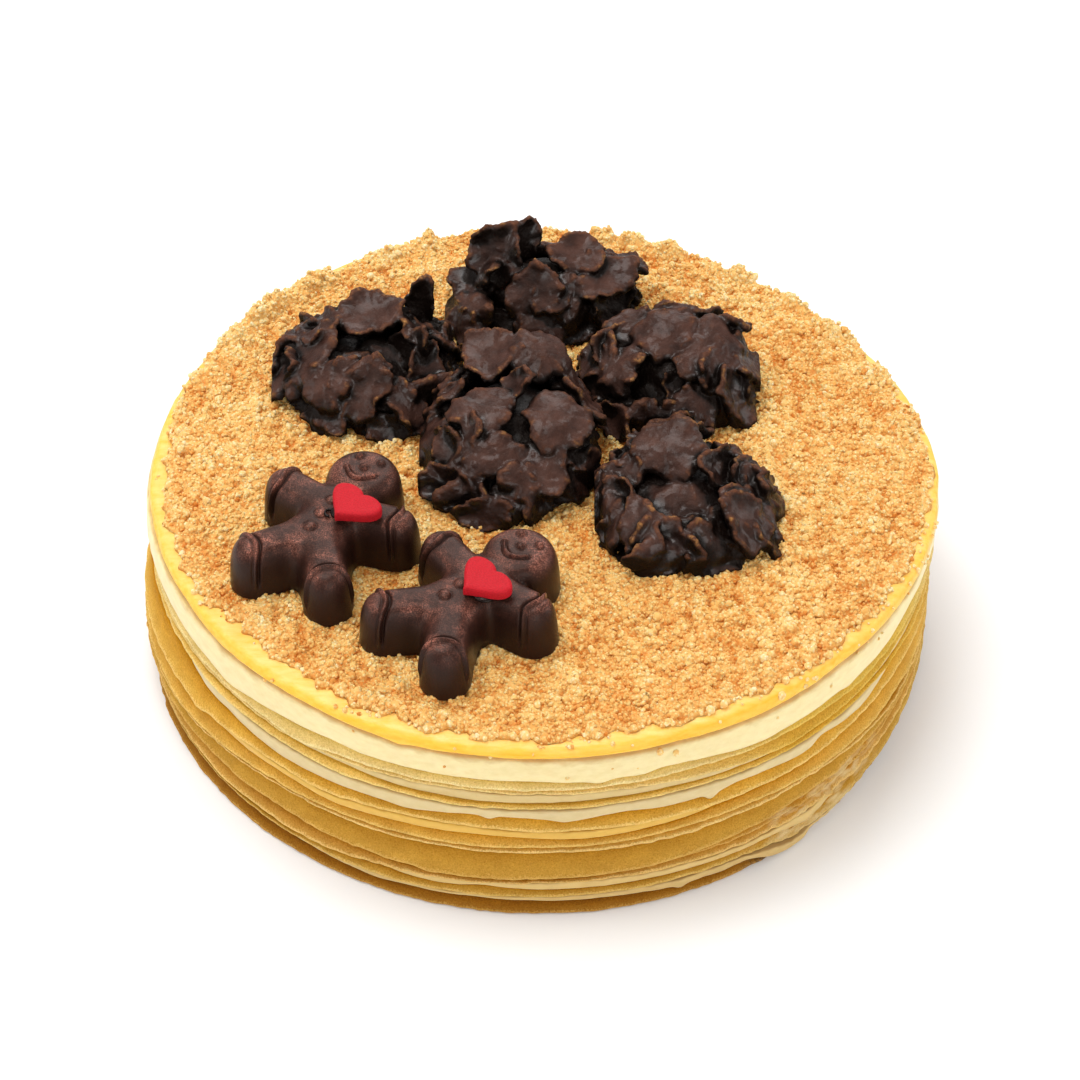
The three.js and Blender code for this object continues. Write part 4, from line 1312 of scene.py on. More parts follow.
# Where the custard's rim is bare and where clumps of crumbs stand: angle, half width, and width or height.
BARE_RIM = ((225, 22, 3.0), (262, 12, 1.6), (300, 20, 1.8), (335, 14, 1.2), (180, 10, 1.4), (125, 5, 1.2),
            (20, 8, 1.2))
RIM_CLUMPS = (
    (314, 24, 0.0), (140, 4, 4.6), (148.5, 2.5, 2.8), (130, 4, 3.4), (116, 3, 2.4), (109, 2, 3.6),
    (97, 4, 1.6), (79.5, 1.8, 3.4), (75, 2.2, 2.8), (68, 2.6, 3.2), (60, 2.2, 2.0), (54.5, 2.5, 2.2),
    (43, 3, 3.4), (34, 3.5, 3.4), (22, 3, 1.6), (8, 4, 1.2))


@dataclass
class CrumbTopping:
    """A rough sheet of fused cookie crumbs with loose crumbs of four sizes on it and down the sides."""

    rings: int = 100
    stations: int = STATIONS
    spacing: float = 0.94  # between crumbs on the sheet
    spilled: int = 42  # crumbs down the sides
    finish: CrumbFinish = field(default_factory=CrumbFinish)

    def build(self) -> list[Piece]:
        """Build the sheet and the crumbs.

        Returns:
            The pieces.
        """
        material = self.finish.build()
        pieces = [Placer.place("crumb_sheet", self._sheet(), material, "cookie_crumb", "cookie_crumbs")]
        place, spilled, random = self._scatter()
        size = 0.58 + 0.76 * random.random(len(place)) ** 1.5 + 0.6 * (random.random(len(place)) < 0.06)
        limits = [0, *np.quantile(size, (0.31, 0.62, 0.925)), 9]
        names = ("crumbs_fine", "crumbs_small", "crumbs_medium", "crumbs_large")
        for name, low, high in zip(names, limits, limits[1:]):
            own = (size >= low) & (size < high)
            mesh = self._crumbs(name, place[own], size[own], spilled[own], random)
            pieces.append(Placer.place(name, mesh, material, "cookie_crumb"))
        return pieces

    def rim(self, angles: Array) -> Array:
        """Radius at which the sheet ends.

        Args:
            angles: degrees from +X.

        Returns:
            The radii in millimetres.
        """
        front = -np.sin(np.radians(angles))
        band = 1.1 + 0.5 * front
        for where, wide, high in BARE_RIM:
            band += high * hill(angles, where, wide)
        for where, wide, _ in RIM_CLUMPS:
            band -= 1.2 * hill(angles, where, wide)
        ring = polar(96, angles, 0)
        rag = (2.0 + 0.6 * front) * Noise(61).layered(ring, 7, 3) + 1.3 * Noise(62).smooth(ring, 2.2)
        return stack_radius(angles, CAKE_HEIGHT) - np.maximum(band + 0.6 - rag, 0.5)

    def height(self, place: Array) -> Array:
        """Height of the sheet above the custard.

        Args:
            place: positions, shape (n, 3).

        Returns:
            Millimetres above the custard.
        """
        radius = np.hypot(place[:, 0], place[:, 1])
        angles = bearing(place)
        inward = self.rim(angles) - radius
        taper = 0.55 * np.clip(inward / 0.7, 0, 1) ** 0.5 + 0.45 * np.clip(inward / 3.2, 0, 1)
        soft = Noise(63).layered(place * (1, 1, 0), 14, 2)
        big, middle = Noise(64).domes(place, 5.2, 0.75), Noise(66).domes(place, 2.7, 0.7)
        small = Noise(65).domes(place, 1.3, 0.7)
        lumps = np.zeros(len(place))
        for where, wide, high in RIM_CLUMPS:
            across = np.exp(-(((radius - CLUMP_RING) / 3.4) ** 4))
            lumps = np.maximum(lumps, high * hill(angles, where, wide, 4) * across)
        high = 0.3 + 0.2 * soft + (1.3 + 0.6 * soft) * big + (1.05 + 0.4 * soft) * middle + 0.5 * small
        high *= 0.25 + 0.75 * np.clip((Noise(68).layered(place * (1, 1, 0), 2.6, 2) + 0.5) / 0.22, 0, 1)
        high = np.where(self._covered(place, 0), np.minimum(high, CRUMB_FLOOR - CAKE_HEIGHT - 0.1), high)
        clumps = lumps * (0.45 + 0.55 * middle + 0.3 * small) * np.clip(inward / 0.9, 0, 1) ** 0.5
        return taper * high + clumps

    def _covered(self, place: Array, shrink: float) -> Array:
        """True where a heap or a figure stands.

        Args:
            place: positions, shape (n, 3).
            shrink: millimetres taken off each footprint.

        Returns:
            One truth value for each position.
        """
        hidden = np.zeros(len(place), dtype=bool)
        for x, y, rx, ry, _, _ in HEAP_CORES.values():
            hidden |= ((place[:, 0] - x) / (rx - shrink)) ** 2 + ((place[:, 1] - y) / (ry - shrink)) ** 2 < 1
        for x, y, turn in MEN.values():
            c, s = math.cos(math.radians(turn)), math.sin(math.radians(turn))
            dx, dy = place[:, 0] - x, place[:, 1] - y
            u, v = dx * c + dy * s, dy * c - dx * s
            hidden |= np.hypot(u, v) < 9 - shrink
            hidden |= (np.abs(u) < 19 - shrink) & (np.abs(v + 12) < 6.5 - shrink * 0.5)
            hidden |= (np.abs(u) < 6.5 - shrink * 0.5) & (np.abs(v + 20) < 12)
        return hidden

    def _sheet(self) -> Mesh:
        """The fused sheet, closed below.

        Returns:
            The mesh.
        """
        mesh = Mesher.turned(self.rings + 2, self.stations)
        co = Mesher.coords(mesh)
        row = np.rint(co[:, 2])
        angles = bearing(co)
        share = np.where(row == 0, 0, ((self.rings + 1 - row) / self.rings) ** 0.7)
        radius = self.rim(angles) * share
        place = polar(radius, angles, 0)
        high = self.height(place)
        place[:, 2] = CAKE_HEIGHT + np.where(row <= 1, 0.02, 0.08 + high)
        Mesher.set_coords(mesh, place)
        edge = np.clip(1 - (self.rim(angles) - radius) / 3, 0, 1)
        # Painted shade: the sheet is darker where it lies low between lumps and paler on the lumps; it is
        # also paler toward its rim.
        Mesher.attribute(mesh, "tone_and_shade", np.clip(0.22 + 0.2 * high + 0.25 * edge, 0, 0.68))
        return Mesher.thinned(mesh, 0.55)

    def _crumbs(self, name: str, place: Array, size: Array, spilled: Array, random: Random) -> Mesh:
        """Many crumbs of about one size, joined into one mesh.

        Args:
            name: the mesh's name.
            place: where they lie, shape (n, 3).
            size: how wide each is.
            spilled: which lie on the side of the stack.
            random: the random draw.

        Returns:
            The mesh.
        """
        shape, faces = Mesher.ball(2 if size.min() > 1.1 else 1, 0.56)
        n = len(place)
        squash = 0.82 + 0.4 * random.random((n, 3))
        frames = Mesher.turns(random.random((n, 3)) * math.tau) * (squash * size[:, None])[:, None, :]
        lift = np.where(spilled, 0, size * (0.32 * random.random(n) - 0.08))
        place = place + lift[:, None] * (0, 0, 1)
        co, triangles = Mesher.spread(shape, faces, place, frames)
        own = np.repeat(place, len(shape), axis=0)
        co = own + (co - own) * (1 + 0.22 * Noise(67).smooth(co, 0.5))[:, None]
        mesh = Mesher.from_arrays(name, co, triangles)
        tone_and_shade = 0.64 + 0.1 * random.standard_normal(n) + np.where(random.random(n) < 0.03, -0.3, 0)
        tone_and_shade += CRUMB_SLOPE * place[:, 1]
        loose = self.rim(bearing(place)) - np.hypot(place[:, 0], place[:, 1]) < 1
        # Loose and spilled crumbs are paler; on the sheet, low crumbs get painted shade and high ones are
        # paler.
        tone_and_shade += np.where(spilled | loose, 0.2, np.clip((place[:, 2] - CAKE_HEIGHT - 1.6) * 0.16, -0.26, 0.16))
        Mesher.attribute(mesh, "tone_and_shade", np.repeat(tone_and_shade, len(shape)))
        return mesh

    def _scatter(self) -> tuple[Array, Array, Random]:
        """Places for crumbs: close together on the sheet, fewer past its rim, and some down the sides.

        Returns:
            The places, which of them are on the side of the stack, and the random draw.
        """
        random = np.random.default_rng(41)
        line = np.arange(-100, 100, self.spacing)
        x, y = (v.ravel() for v in np.meshgrid(line, line))
        place = np.column_stack([x, y, np.zeros(len(x))])
        place[:, :2] += (random.random((len(x), 2)) - 0.5) * self.spacing * 1.5
        radius = np.hypot(place[:, 0], place[:, 1])
        angles = bearing(place)
        inward = self.rim(angles) - radius
        clusters = np.clip(2.2 * Noise(69).smooth(place, 3.4) - 0.3, 0.01, 1)
        wish = np.where(inward > 0, 0.86 + 0.14 * np.clip(inward / 4, 0, 1), clusters * np.exp(inward / 1.8))
        edge = stack_radius(angles, CAKE_HEIGHT) - 0.6
        place = place[(random.random(len(x)) < wish) & (radius < edge) & ~self._covered(place, 3)]
        place[:, 2] = CAKE_HEIGHT + self.height(place)
        side = 200 + 150 * random.random(self.spilled) ** 0.6
        drop = CAKE_HEIGHT - 0.8 - 14 * random.random(self.spilled) ** 2.6
        lower = polar(stack_radius(side, drop) + 0.2, side, drop)
        return np.vstack([place, lower]), np.arange(len(place) + self.spilled) >= len(place), random


# ---- flakes
# For each flake that shows: x, y, z, length, width, tilt, heading, spin in its own plane, and cup.
FLAKES = {
    "left": (
        (-44.6, 38.4, 75, 17, 16, 14, 250, 0, 1.5), (-31.4, 44, 75, 15, 8, 78, 265, 90, 1),
        (-50.3, 22.7, 66, 24, 15, 62, 262, 0, -3), (-65, 27.6, 65, 14, 9, 75, 190, 90, 3),
        (-57.6, 36.8, 71, 14, 13, 35, 170, 30, 2), (-34, 30.1, 71, 17, 9, 70, 230, 50, 1.5),
        (-30.3, 24.3, 67, 16, 11, 45, 300, 50, 2), (-42.9, 16.4, 62, 19, 9, 65, 265, 0, 2),
        (-42.5, 13, 60, 15, 8, 55, 270, 0, 1), (-58, 19, 61, 12, 8, 75, 200, 90, 1),
        (-48, 47, 67, 17, 13, 60, 100, 0, 2), (-34, 41.5, 68.5, 16, 13, 55, 50, 0, 1),
        (-55.5, 13.5, 60, 13, 9, 55, 235, 0, 1), (-25, 40, 64, 15, 12, 60, 30, 0, 1),
        (-38, 10.5, 60, 15, 9, 60, 285, 0, 1), (-23.5, 32, 62, 13, 10, 58, 350, 0, 1)),
    "back": (
        (-11.6, 63.2, 76, 18, 15, 60, 250, 60, 2), (-4.5, 66, 79, 13, 9, 75, 290, 85, 1),
        (-2.6, 56.2, 71, 12, 12, 55, 265, 0, -2), (9.7, 62.7, 76, 17, 12, 20, 290, 350, 1),
        (17.4, 58.5, 72, 19, 12, 25, 280, 350, 1), (22.5, 66, 70, 13, 11, 15, 60, 0, 1),
        (17.5, 57, 67, 16, 10, 50, 280, 0, 2), (-18.5, 61, 67, 14, 11, 30, 230, 10, 1),
        (-19, 52, 65, 15, 12, 50, 220, 0, -3), (2.5, 51.5, 66, 17, 12, 45, 270, 10, -2),
        (2, 74, 66, 18, 13, 55, 90, 0, 2), (-20.5, 50, 62, 12, 10, 55, 225, 0, 1),
        (8.5, 50.5, 61.5, 15, 10, 60, 275, 0, 1)),
    "right": (
        (23.5, 36, 73, 13, 14, 15, 230, 40, -1), (31.9, 29.3, 76, 16, 16, 20, 250, 20, -2),
        (36.4, 37.5, 75, 19, 12, 12, 60, 345, -2), (43.7, 25.5, 74, 20, 18, 22, 300, 20, -3),
        (50.5, 37, 73, 10, 9, 45, 60, 60, 0.4), (20.5, 30.5, 69, 16, 13, 30, 280, 340, 3),
        (22.5, 25, 65, 16, 11, 45, 270, 345, 3), (38, 18.5, 66, 15, 10, 40, 275, 355, 3),
        (48.5, 16, 62, 14, 14, 70, 300, 60, -2), (53, 22, 63, 11, 8, 75, 350, 90, 2),
        (38, 43, 71, 17, 12, 50, 85, 0, 2), (18, 24, 62, 14, 10, 65, 210, 0, 1),
        (14.5, 29, 67, 14, 11, 45, 190, 0, 1), (14.5, 39.5, 61.5, 13, 10, 55, 150, 0, 1),
        (19, 12, 61, 13, 10, 58, 225, 0, 1)),
    "centre": (
        (-12.8, 23, 74, 17, 17, 15, 200, 20, 1.5), (0.3, 21.5, 76, 18, 16, 20, 330, 70, -3),
        (-14.8, 0, 75, 17, 17, 10, 230, 30, -1.5), (4.5, -4, 75, 18, 19, 14, 300, 60, -2),
        (-12.5, -12.4, 70.5, 16, 14, 32, 255, 20, -2), (-23.5, -5, 65, 17, 14, 72, 200, 80, 2),
        (-22.5, -15, 61, 18, 12, 48, 240, 350, 3), (-4, -19, 63, 14, 13, 68, 268, 0, 1),
        (5, -14, 63, 14, 10, 60, 290, 0, 1), (9, -9, 67, 10, 9, 60, 330, 0, 1),
        (-5.5, 8, 77, 12, 8, 55, 200, 60, 1), (10, 14, 68, 16, 12, 50, 20, 20, 1),
        (-14, -23, 60, 15, 10, 60, 260, 0, 1), (12, 3.5, 61, 13, 9, 62, 0, 0, 1),
        (10, 22, 62, 13, 10, 52, 40, 0, 1)),
    "front": (
        (32, -14.6, 75, 19, 18, 28, 240, 60, -2), (27, -5.5, 70, 14, 11, 35, 130, 30, 2),
        (22, -17, 69, 10, 9, 35, 220, 0, 1), (21, -24.4, 66.5, 14, 8, 50, 220, 345, 3),
        (45, -19.2, 71.5, 13, 14, 42, 330, 60, 2), (50.5, -19.5, 67, 16, 10, 60, 345, 80, 2),
        (55.5, -19.9, 65, 14, 8, 80, 355, 90, 1), (34.5, -35, 62.5, 21, 13, 62, 268, 5, -3.5),
        (47, -32, 62, 16, 14, 60, 310, 50, -2), (21.5, -32.5, 60.5, 15, 11, 55, 230, 0, 2),
        (36, -5, 71, 16, 12, 45, 90, 0, 2), (28, -39, 60, 13, 10, 60, 255, 0, 1),
        (44, -38.5, 60, 14, 10, 60, 285, 0, 1), (21.5, -3, 63, 14, 10, 60, 150, 0, 1)),
}


@dataclass
class FlakeHeap:
    """A heap of chocolate-coated flakes fused where they touch."""

    name: str
    seed: int
    thickness: float = 1.9
    voxel: float = 0.42
    fillers: int = 32  # flakes that fill the gaps
    segments: int = 36  # vertices round a flake

    def build(self, material: Material) -> Piece:
        """Build the heap.

        Args:
            material: the flakes' finish.

        Returns:
            The piece.
        """
        random = np.random.default_rng(self.seed)
        shape, faces = self._flake()
        parts = [self._core()]
        for number, row in enumerate([*FLAKES[self.name], *self._extra(random)]):
            parts.append((self._bent(shape, row, random, number), faces))
        co = np.vstack([p[0] for p in parts])
        starts = np.cumsum([0] + [len(p[0]) for p in parts[:-1]])
        index = np.vstack([p[1] + s for p, s in zip(parts, starts)])
        mesh = Mesher.fused(Mesher.from_arrays("flakes", co, index), self.voxel)
        node = f"flake_heap_{self.name}"
        return Placer.place(node + "_flakes", self._dressed(mesh), material, "chocolate_flake", node)

    def _flake(self) -> tuple[Array, Array]:
        """A flat round chip of unit radius and thickness.

        Returns:
            Its vertices and triangles.
        """
        bm = bmesh.new()
        bmesh.ops.create_circle(bm, cap_ends=True, segments=self.segments, radius=1)
        for step in (0.05, 0.09, 0.13, 0.18, 0.22):
            middle = max(bm.faces, key=lambda f: len(f.verts))
            bmesh.ops.inset_region(bm, faces=[middle], thickness=step, use_boundary=True,
                                   use_even_offset=True)
        bmesh.ops.solidify(bm, geom=bm.faces[:], thickness=1.0)
        bmesh.ops.translate(bm, verts=bm.verts, vec=(0, 0, -sum(v.co.z for v in bm.verts) / len(bm.verts)))
        bmesh.ops.triangulate(bm, faces=bm.faces)
        bmesh.ops.recalc_face_normals(bm, faces=bm.faces)
        return Mesher.shape(bm)

    def _bent(self, shape: Array, row: tuple[float, ...], random: Random, number: int) -> Array:
        """One flake cupped, ruffled at its thick rim and turned into place.

        Args:
            shape: the flat chip.
            row: middle, length, width, tilt, heading, spin and cup.
            random: the random draw.
            number: tells the flakes apart.

        Returns:
            The vertices.
        """
        x, y, z, long, wide, tilt, heading, spin, cup = row
        side = np.arctan2(shape[:, 1], shape[:, 0])
        r = np.hypot(shape[:, 0], shape[:, 1])
        phases = random.random(6) * math.tau
        reach = np.ones(len(r))
        for count, size, phase in zip((2, 3, 5, 8, 13), (0.07, 0.08, 0.06, 0.045, 0.03), phases):
            reach += size * np.cos(count * side + phase)
        bead = 1 + 0.18 * np.exp(-(((r - 0.84) / 0.1) ** 2)) - 0.6 * np.clip((r - 0.86) / 0.14, 0, 1) ** 2
        chip = np.column_stack([np.cos(side) * r * reach * long / 2, np.sin(side) * r * reach * wide / 2,
                                shape[:, 2] * self.thickness * bead])
        ruffle = 0.75 * np.sin(3 * side + phases[3]) + 0.5 * np.sin(6 * side + phases[1])
        ruffle += 0.25 * np.sin(11 * side + phases[5])
        ripple = Noise(self.seed + number)
        chip[:, 2] += (cup * (r**2 - 0.3) + ruffle * r**3 + 0.6 * ripple.smooth(chip, 6)
                       + 0.2 * ripple.smooth(chip + 40, 2.6))
        t, h, s = math.radians(tilt), math.radians(heading), math.radians(spin)
        normal = Vector((math.sin(t) * math.cos(h), math.sin(t) * math.sin(h), math.cos(t)))
        level = Vector((-math.sin(h), math.cos(h), 0))
        basis = Matrix((level, normal.cross(level), normal)).transposed()
        turn = Matrix.Rotation(s, 3, normal)
        return chip @ np.array(turn @ basis).T + (x, y, z)

    def _core(self) -> tuple[Array, Array]:
        """The solid middle of the heap.

        Returns:
            Its vertices and triangles.
        """
        x, y, rx, ry, high, slope = HEAP_CORES[self.name]
        co, faces = Mesher.ball(4, 1)
        flat = np.maximum(np.hypot(co[:, 0], co[:, 1]), 1e-6)
        spread = flat ** (slope - 1)
        share = 0.92 - 0.3 * np.clip(co[:, 2], 0, 1) ** 0.7
        place = np.column_stack([co[:, 0] * spread * rx * share + x, co[:, 1] * spread * ry * share + y,
                                 CRUMB_FLOOR + 1 + np.where(co[:, 2] > 0, co[:, 2] * high * 0.82, co[:, 2])])
        dent = np.clip(0.15 + Noise(self.seed + 7).layered(place, 7, 2), 0, 1)
        place -= 4.0 * dent[:, None] * co * (1, 1, 0.8)
        return place, faces

    def _extra(self, random: Random) -> list[tuple[float, ...]]:
        """More flakes packed round the core, most of them lying with a rim outward.

        Args:
            random: the random draw.

        Returns:
            A row for each flake.
        """
        x, y, rx, ry, high, _ = HEAP_CORES[self.name]
        rows = []
        for k in range(self.fillers):
            heading = (k * 137.5 + 30 * random.random()) % 360
            level = 0.04 + 0.78 * random.random() ** 1.2
            share = math.sqrt(1 - level**2) * (0.86 + 0.14 * random.random())
            h = math.radians(heading)
            px, py = x + rx * share * math.cos(h), y + ry * share * math.sin(h)
            pz = CRUMB_FLOOR + 1.4 + (high - 2) * level
            tilt = 36 + 36 * (1 - level) + 11 * random.standard_normal()
            long = 12 + 5 * random.random()
            wide = long * (0.68 + 0.26 * random.random())
            heading += 22 * random.standard_normal()
            spin, cup = 360 * random.random(), 3.5 * random.random() - 2.5
            rows.append((px, py, pz, long, wide, tilt, heading, spin, cup))
        return rows

    def _dressed(self, mesh: Mesh) -> Mesh:
        """Soften the fused skin, roughen its rims, and mark the rims and the painted shade of hollows and of
        sides that don't face up.

        Args:
            mesh: the fused heap.

        Returns:
            The finished mesh, with fewer faces.
        """
        edges = Mesher.edges(mesh)
        co = Mesher.relax(Mesher.coords(mesh), edges, 1)
        Mesher.set_coords(mesh, co)
        normal = Mesher.normals(mesh)
        wide = Mesher.relax(co, edges, 7)
        rim = np.clip(Mesher.relax(np.einsum("ij,ij->i", co - wide, normal), edges, 2) / 0.14, 0, 1)
        hollow_shade = Mesher.relax(hidden_sky(co, normal), edges, 4)
        facing = Mesher.relax(normal, edges, 5)[:, 2]
        skin = Noise(self.seed + 3)
        lumps = np.clip(skin.smooth(co, 2.1) - 0.45, 0, 1) * 1.3
        rough = skin.smooth(co + 30, 0.75) * (0.1 + 0.3 * rim)
        calm = np.clip(1.2 - 2.5 * hollow_shade, 0.1, 1)
        raised = calm * (0.12 * skin.layered(co, 3.2, 2) + 0.5 * lumps * (1 - rim)) + rough * 0.8
        co = co + normal * raised[:, None]
        lo, hi = (np.array(v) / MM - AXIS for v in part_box(f"flake_heap_{self.name}"))
        co = np.clip(co, lo - 0.4, hi + 0.4)
        co[:, 2] = np.maximum(co[:, 2], CRUMB_FLOOR)
        Mesher.set_coords(mesh, co)
        Mesher.attribute(mesh, "rim", rim)
        # Painted shade: darker in hollows that the sky can't reach and on sides that don't face up.
        Mesher.attribute(mesh, "hollow_shade", hollow_shade + 0.32 * (1 - np.clip(facing / 0.95, 0, 1)))
        return Mesher.thinned(mesh, 0.62)


# ---- figures and hearts
def on_man(side: str, co: Array) -> Array:
    """Carry positions on a figure to where it lies on the cake.

    Args:
        side: which figure.
        co: positions on a figure whose foot is at z = 0, shape (n, 3).

    Returns:
        The positions on the cake.
    """
    x, y, turn = MEN[side]
    c, s = math.cos(math.radians(turn)), math.sin(math.radians(turn))
    u, v = co[:, 0], co[:, 1]
    return np.column_stack([x + u * c - v * s, y + u * s + v * c, CRUMB_FLOOR + co[:, 2]])


@dataclass(frozen=True)
class Limb:
    """A bar with round ends: a limb, the body or the head of a figure."""

    start: tuple[float, float]
    end: tuple[float, float]
    near: float  # radius at the start
    far: float  # radius at the end

    def add(self, bm: bmesh.types.BMesh, height: float, draft: float) -> None:
        """Add the bar's raw form to a figure.

        Args:
            bm: the figure so far.
            height: how high it stands.
            draft: how much wider each side is at the foot.
        """
        new = bmesh.ops.create_circle(bm, cap_ends=True, segments=40, radius=1)["verts"]
        along = Vector((self.end[0] - self.start[0], self.end[1] - self.start[1], 0))
        for vert in new:
            ahead = vert.co.dot(along) > 0
            vert.co = vert.co * (draft + (self.far if ahead else self.near)) + Vector((*self.start, 0))
            vert.co += along if ahead else Vector()
        base = [f for f in bm.faces if all(v in new for v in f.verts)]
        raised = bmesh.ops.extrude_face_region(bm, geom=base)["geom"]
        verts, lid = Mesher.sorted_out(raised)
        bmesh.ops.translate(bm, verts=verts, vec=(0, 0, height))
        rim = list({e for f in lid for e in f.edges})
        bmesh.ops.bevel(bm, geom=rim, offset=3.0, affect="EDGES", segments=4, profile=0.5, material=-1)

    def gap(self, co: Array) -> Array:
        """Distance from the bar's outline in plan.

        Args:
            co: positions, shape (n, 3).

        Returns:
            Millimetres, less than 0 within the outline.
        """
        along = np.subtract(self.end, self.start)
        from_start = co[:, :2] - self.start
        share = np.clip(from_start @ along / (along @ along), 0, 1)
        away = np.linalg.norm(from_start - share[:, None] * along, axis=1)
        return away - (self.near + (self.far - self.near) * share)


@dataclass
class GingerbreadMan:
    """A moulded chocolate gingerbread man lying on his back."""

    side: str
    height: float = 14.0
    voxel: float = 0.32
    draft: float = 0.7  # how much wider each side is at the foot
    puff: float = 4.1  # how boxy the round of the top is
    blend: float = 4.5  # how softly the limbs run into each other
    neck: float = 0.8  # how softly the head meets the body
    # Eyes, nose and buttons: x, y, radius and height.
    domes: tuple[tuple[float, float, float, float], ...] = (
        (-3.2, 2.9, 0.98, 0.95), (3.2, 2.9, 0.98, 0.95), (0, -0.5, 0.98, 0.95),
        (-0.9, -14.6, 1.4, 0.6), (-0.9, -20, 1.5, 0.8), (-0.9, -25.4, 1.5, 0.8))
    limbs: tuple[Limb, ...] = (Limb((0, -11), (0, -24), 5.6, 6.4),
                               Limb((0, -15), (-15.6, -12), 5.6, 5.5), Limb((0, -15), (15.6, -12), 5.6, 5.5),
                               Limb((0, -23), (-10.4, -36.6), 5.7, 5.6),
                               Limb((0, -23), (10.4, -36.6), 5.7, 5.6),
                               Limb((0, -1.1), (0, -1.2), 9.5, 9.5))

    def build(self, material: Material) -> Piece:
        """Build the figure.

        Args:
            material: the moulded chocolate.

        Returns:
            The piece.
        """
        bm = bmesh.new()
        for limb in self.limbs:
            limb.add(bm, self.height, self.draft)
        bmesh.ops.triangulate(bm, faces=bm.faces)
        bmesh.ops.recalc_face_normals(bm, faces=bm.faces)
        mesh = Mesher.fused(Mesher.from_bmesh(bm, "figure"), self.voxel)
        edges = Mesher.edges(mesh)
        co = self._settled(Mesher.relax(Mesher.coords(mesh), edges, 4))
        co = self._settled(Mesher.relax(co, edges, 2))
        Mesher.set_coords(mesh, co)
        self._refine(mesh)
        co = Mesher.coords(mesh)
        relief = self._relief(co)
        # More lustre high up, on ridges and on faces that look up, less in grooves and on the sides: partly
        # the dust's place, partly painted light and shade.
        upper = np.clip((co[:, 2] - 5) / 8, 0, 1) ** 1.5 * np.clip(1 + 1.8 * relief, 0.1, 1.7)
        normal = Mesher.normals(mesh)
        upper *= np.clip(1.6 * normal[:, 2] - 0.2, 0.06, 1)
        co = co + normal * relief[:, None]
        co[:, 2] = np.maximum(co[:, 2], 0)
        Mesher.set_coords(mesh, on_man(self.side, co))
        Mesher.attribute(mesh, "upper", upper)
        node = f"{self.side}_man"
        return Placer.place(node + "_figure", Mesher.thinned(mesh, 0.45), material, "moulded_chocolate", node)

    def _field(self, co: Array) -> Array:
        """How far outside the puffed figure each position is: 0 on its skin, and less within.

        Args:
            co: positions, shape (n, 3).

        Returns:
            The values.
        """
        rise = np.clip(co[:, 2] / self.height, 0, 1.2)
        gap = self.limbs[0].gap(co) - self.draft * (1 - rise)
        for limb in self.limbs[1:]:
            other = limb.gap(co) - self.draft * (1 - rise)
            soft = self.neck if limb is self.limbs[-1] else self.blend
            share = np.clip(0.5 + 0.5 * (other - gap) / soft, 0, 1)
            gap = other * (1 - share) + gap * share - soft * share * (1 - share)
        return np.clip(1 + gap / 6.0, 0, None) ** self.puff + rise**self.puff - 1

    def _settled(self, co: Array) -> Array:
        """Move the upper vertices onto the puffed form.

        Args:
            co: the figure's vertices.

        Returns:
            The moved vertices.
        """
        co = co.copy()
        free = co[:, 2] > 0.6
        step = 0.05
        for _ in range(8):
            p = co[free]
            value = self._field(p)
            slope = np.column_stack([(self._field(p + step * way) - value) / step for way in np.eye(3)])
            move = -value[:, None] * slope / np.maximum((slope**2).sum(1), 1e-3)[:, None]
            length = np.linalg.norm(move, axis=1)[:, None]
            co[free] = p + move * np.minimum(1, 0.7 / np.maximum(length, 1e-6))
        return co

    def _refine(self, mesh: Mesh) -> None:
        """Give the mesh finer faces where the face, the buttons and the cuffs come.

        Args:
            mesh: the settled figure.
        """
        marked = np.abs(self._relief(Mesher.coords(mesh))) > 0.01
        bm = bmesh.new()
        bm.from_mesh(mesh)
        bm.verts.ensure_lookup_table()
        near = [e for e in bm.edges if marked[e.verts[0].index] or marked[e.verts[1].index]]
        bmesh.ops.subdivide_edges(bm, edges=near, cuts=1, use_grid_fill=True)
        bm.to_mesh(mesh)
        bm.free()

    def _relief(self, co: Array) -> Array:
        """How far the raised face, buttons and cuffs stand out.

        Args:
            co: the figure's vertices.

        Returns:
            How far each vertex is moved outward.
        """
        x, y = co[:, 0], co[:, 1]
        raised, ditch = np.zeros(len(co)), np.zeros(len(co))
        for px, py, wide, high in self.domes:
            away = np.hypot(x - px, y - py)
            raised = np.maximum(raised, high * np.sqrt(np.clip(1 - (away / wide) ** 2, 0, 1)))
            ditch = np.maximum(ditch, 0.22 * np.exp(-(((away - wide - 0.2) / 0.25) ** 2)))
        k = np.clip(x / 3.8, -1, 1)
        smile = np.hypot(x - 3.8 * k, y - (-2.2 - 2.5 * (1 - k * k)))
        raised = np.maximum(raised, 0.8 * np.sqrt(np.clip(1 - (smile / 0.52) ** 2, 0, 1)))
        ditch = np.maximum(ditch, 0.4 * np.exp(-(((smile - 0.75) / 0.28) ** 2)))
        raised = np.where(raised > 0, raised, -ditch) * np.clip((co[:, 2] - 9.5) / 2, 0, 1)
        low = np.clip((co[:, 2] - 3) / 3, 0, 1)
        for sx in (-1, 1):
            across = y + 12.4
            sleeve = sx * x - 16.2 + 0.27 * across - 0.8 * np.sin(across * 0.6)
            raised += self._cuff(sleeve, np.abs(across) < 9, low)
            along = x * sx * 0.606 + (-23 - y) * 0.796
            across = x * sx * 0.796 - (-23 - y) * 0.606
            raised += self._cuff(along - 16.6 - 0.08 * across**2, (np.abs(across) < 9) & (along > 8), low)
        return raised

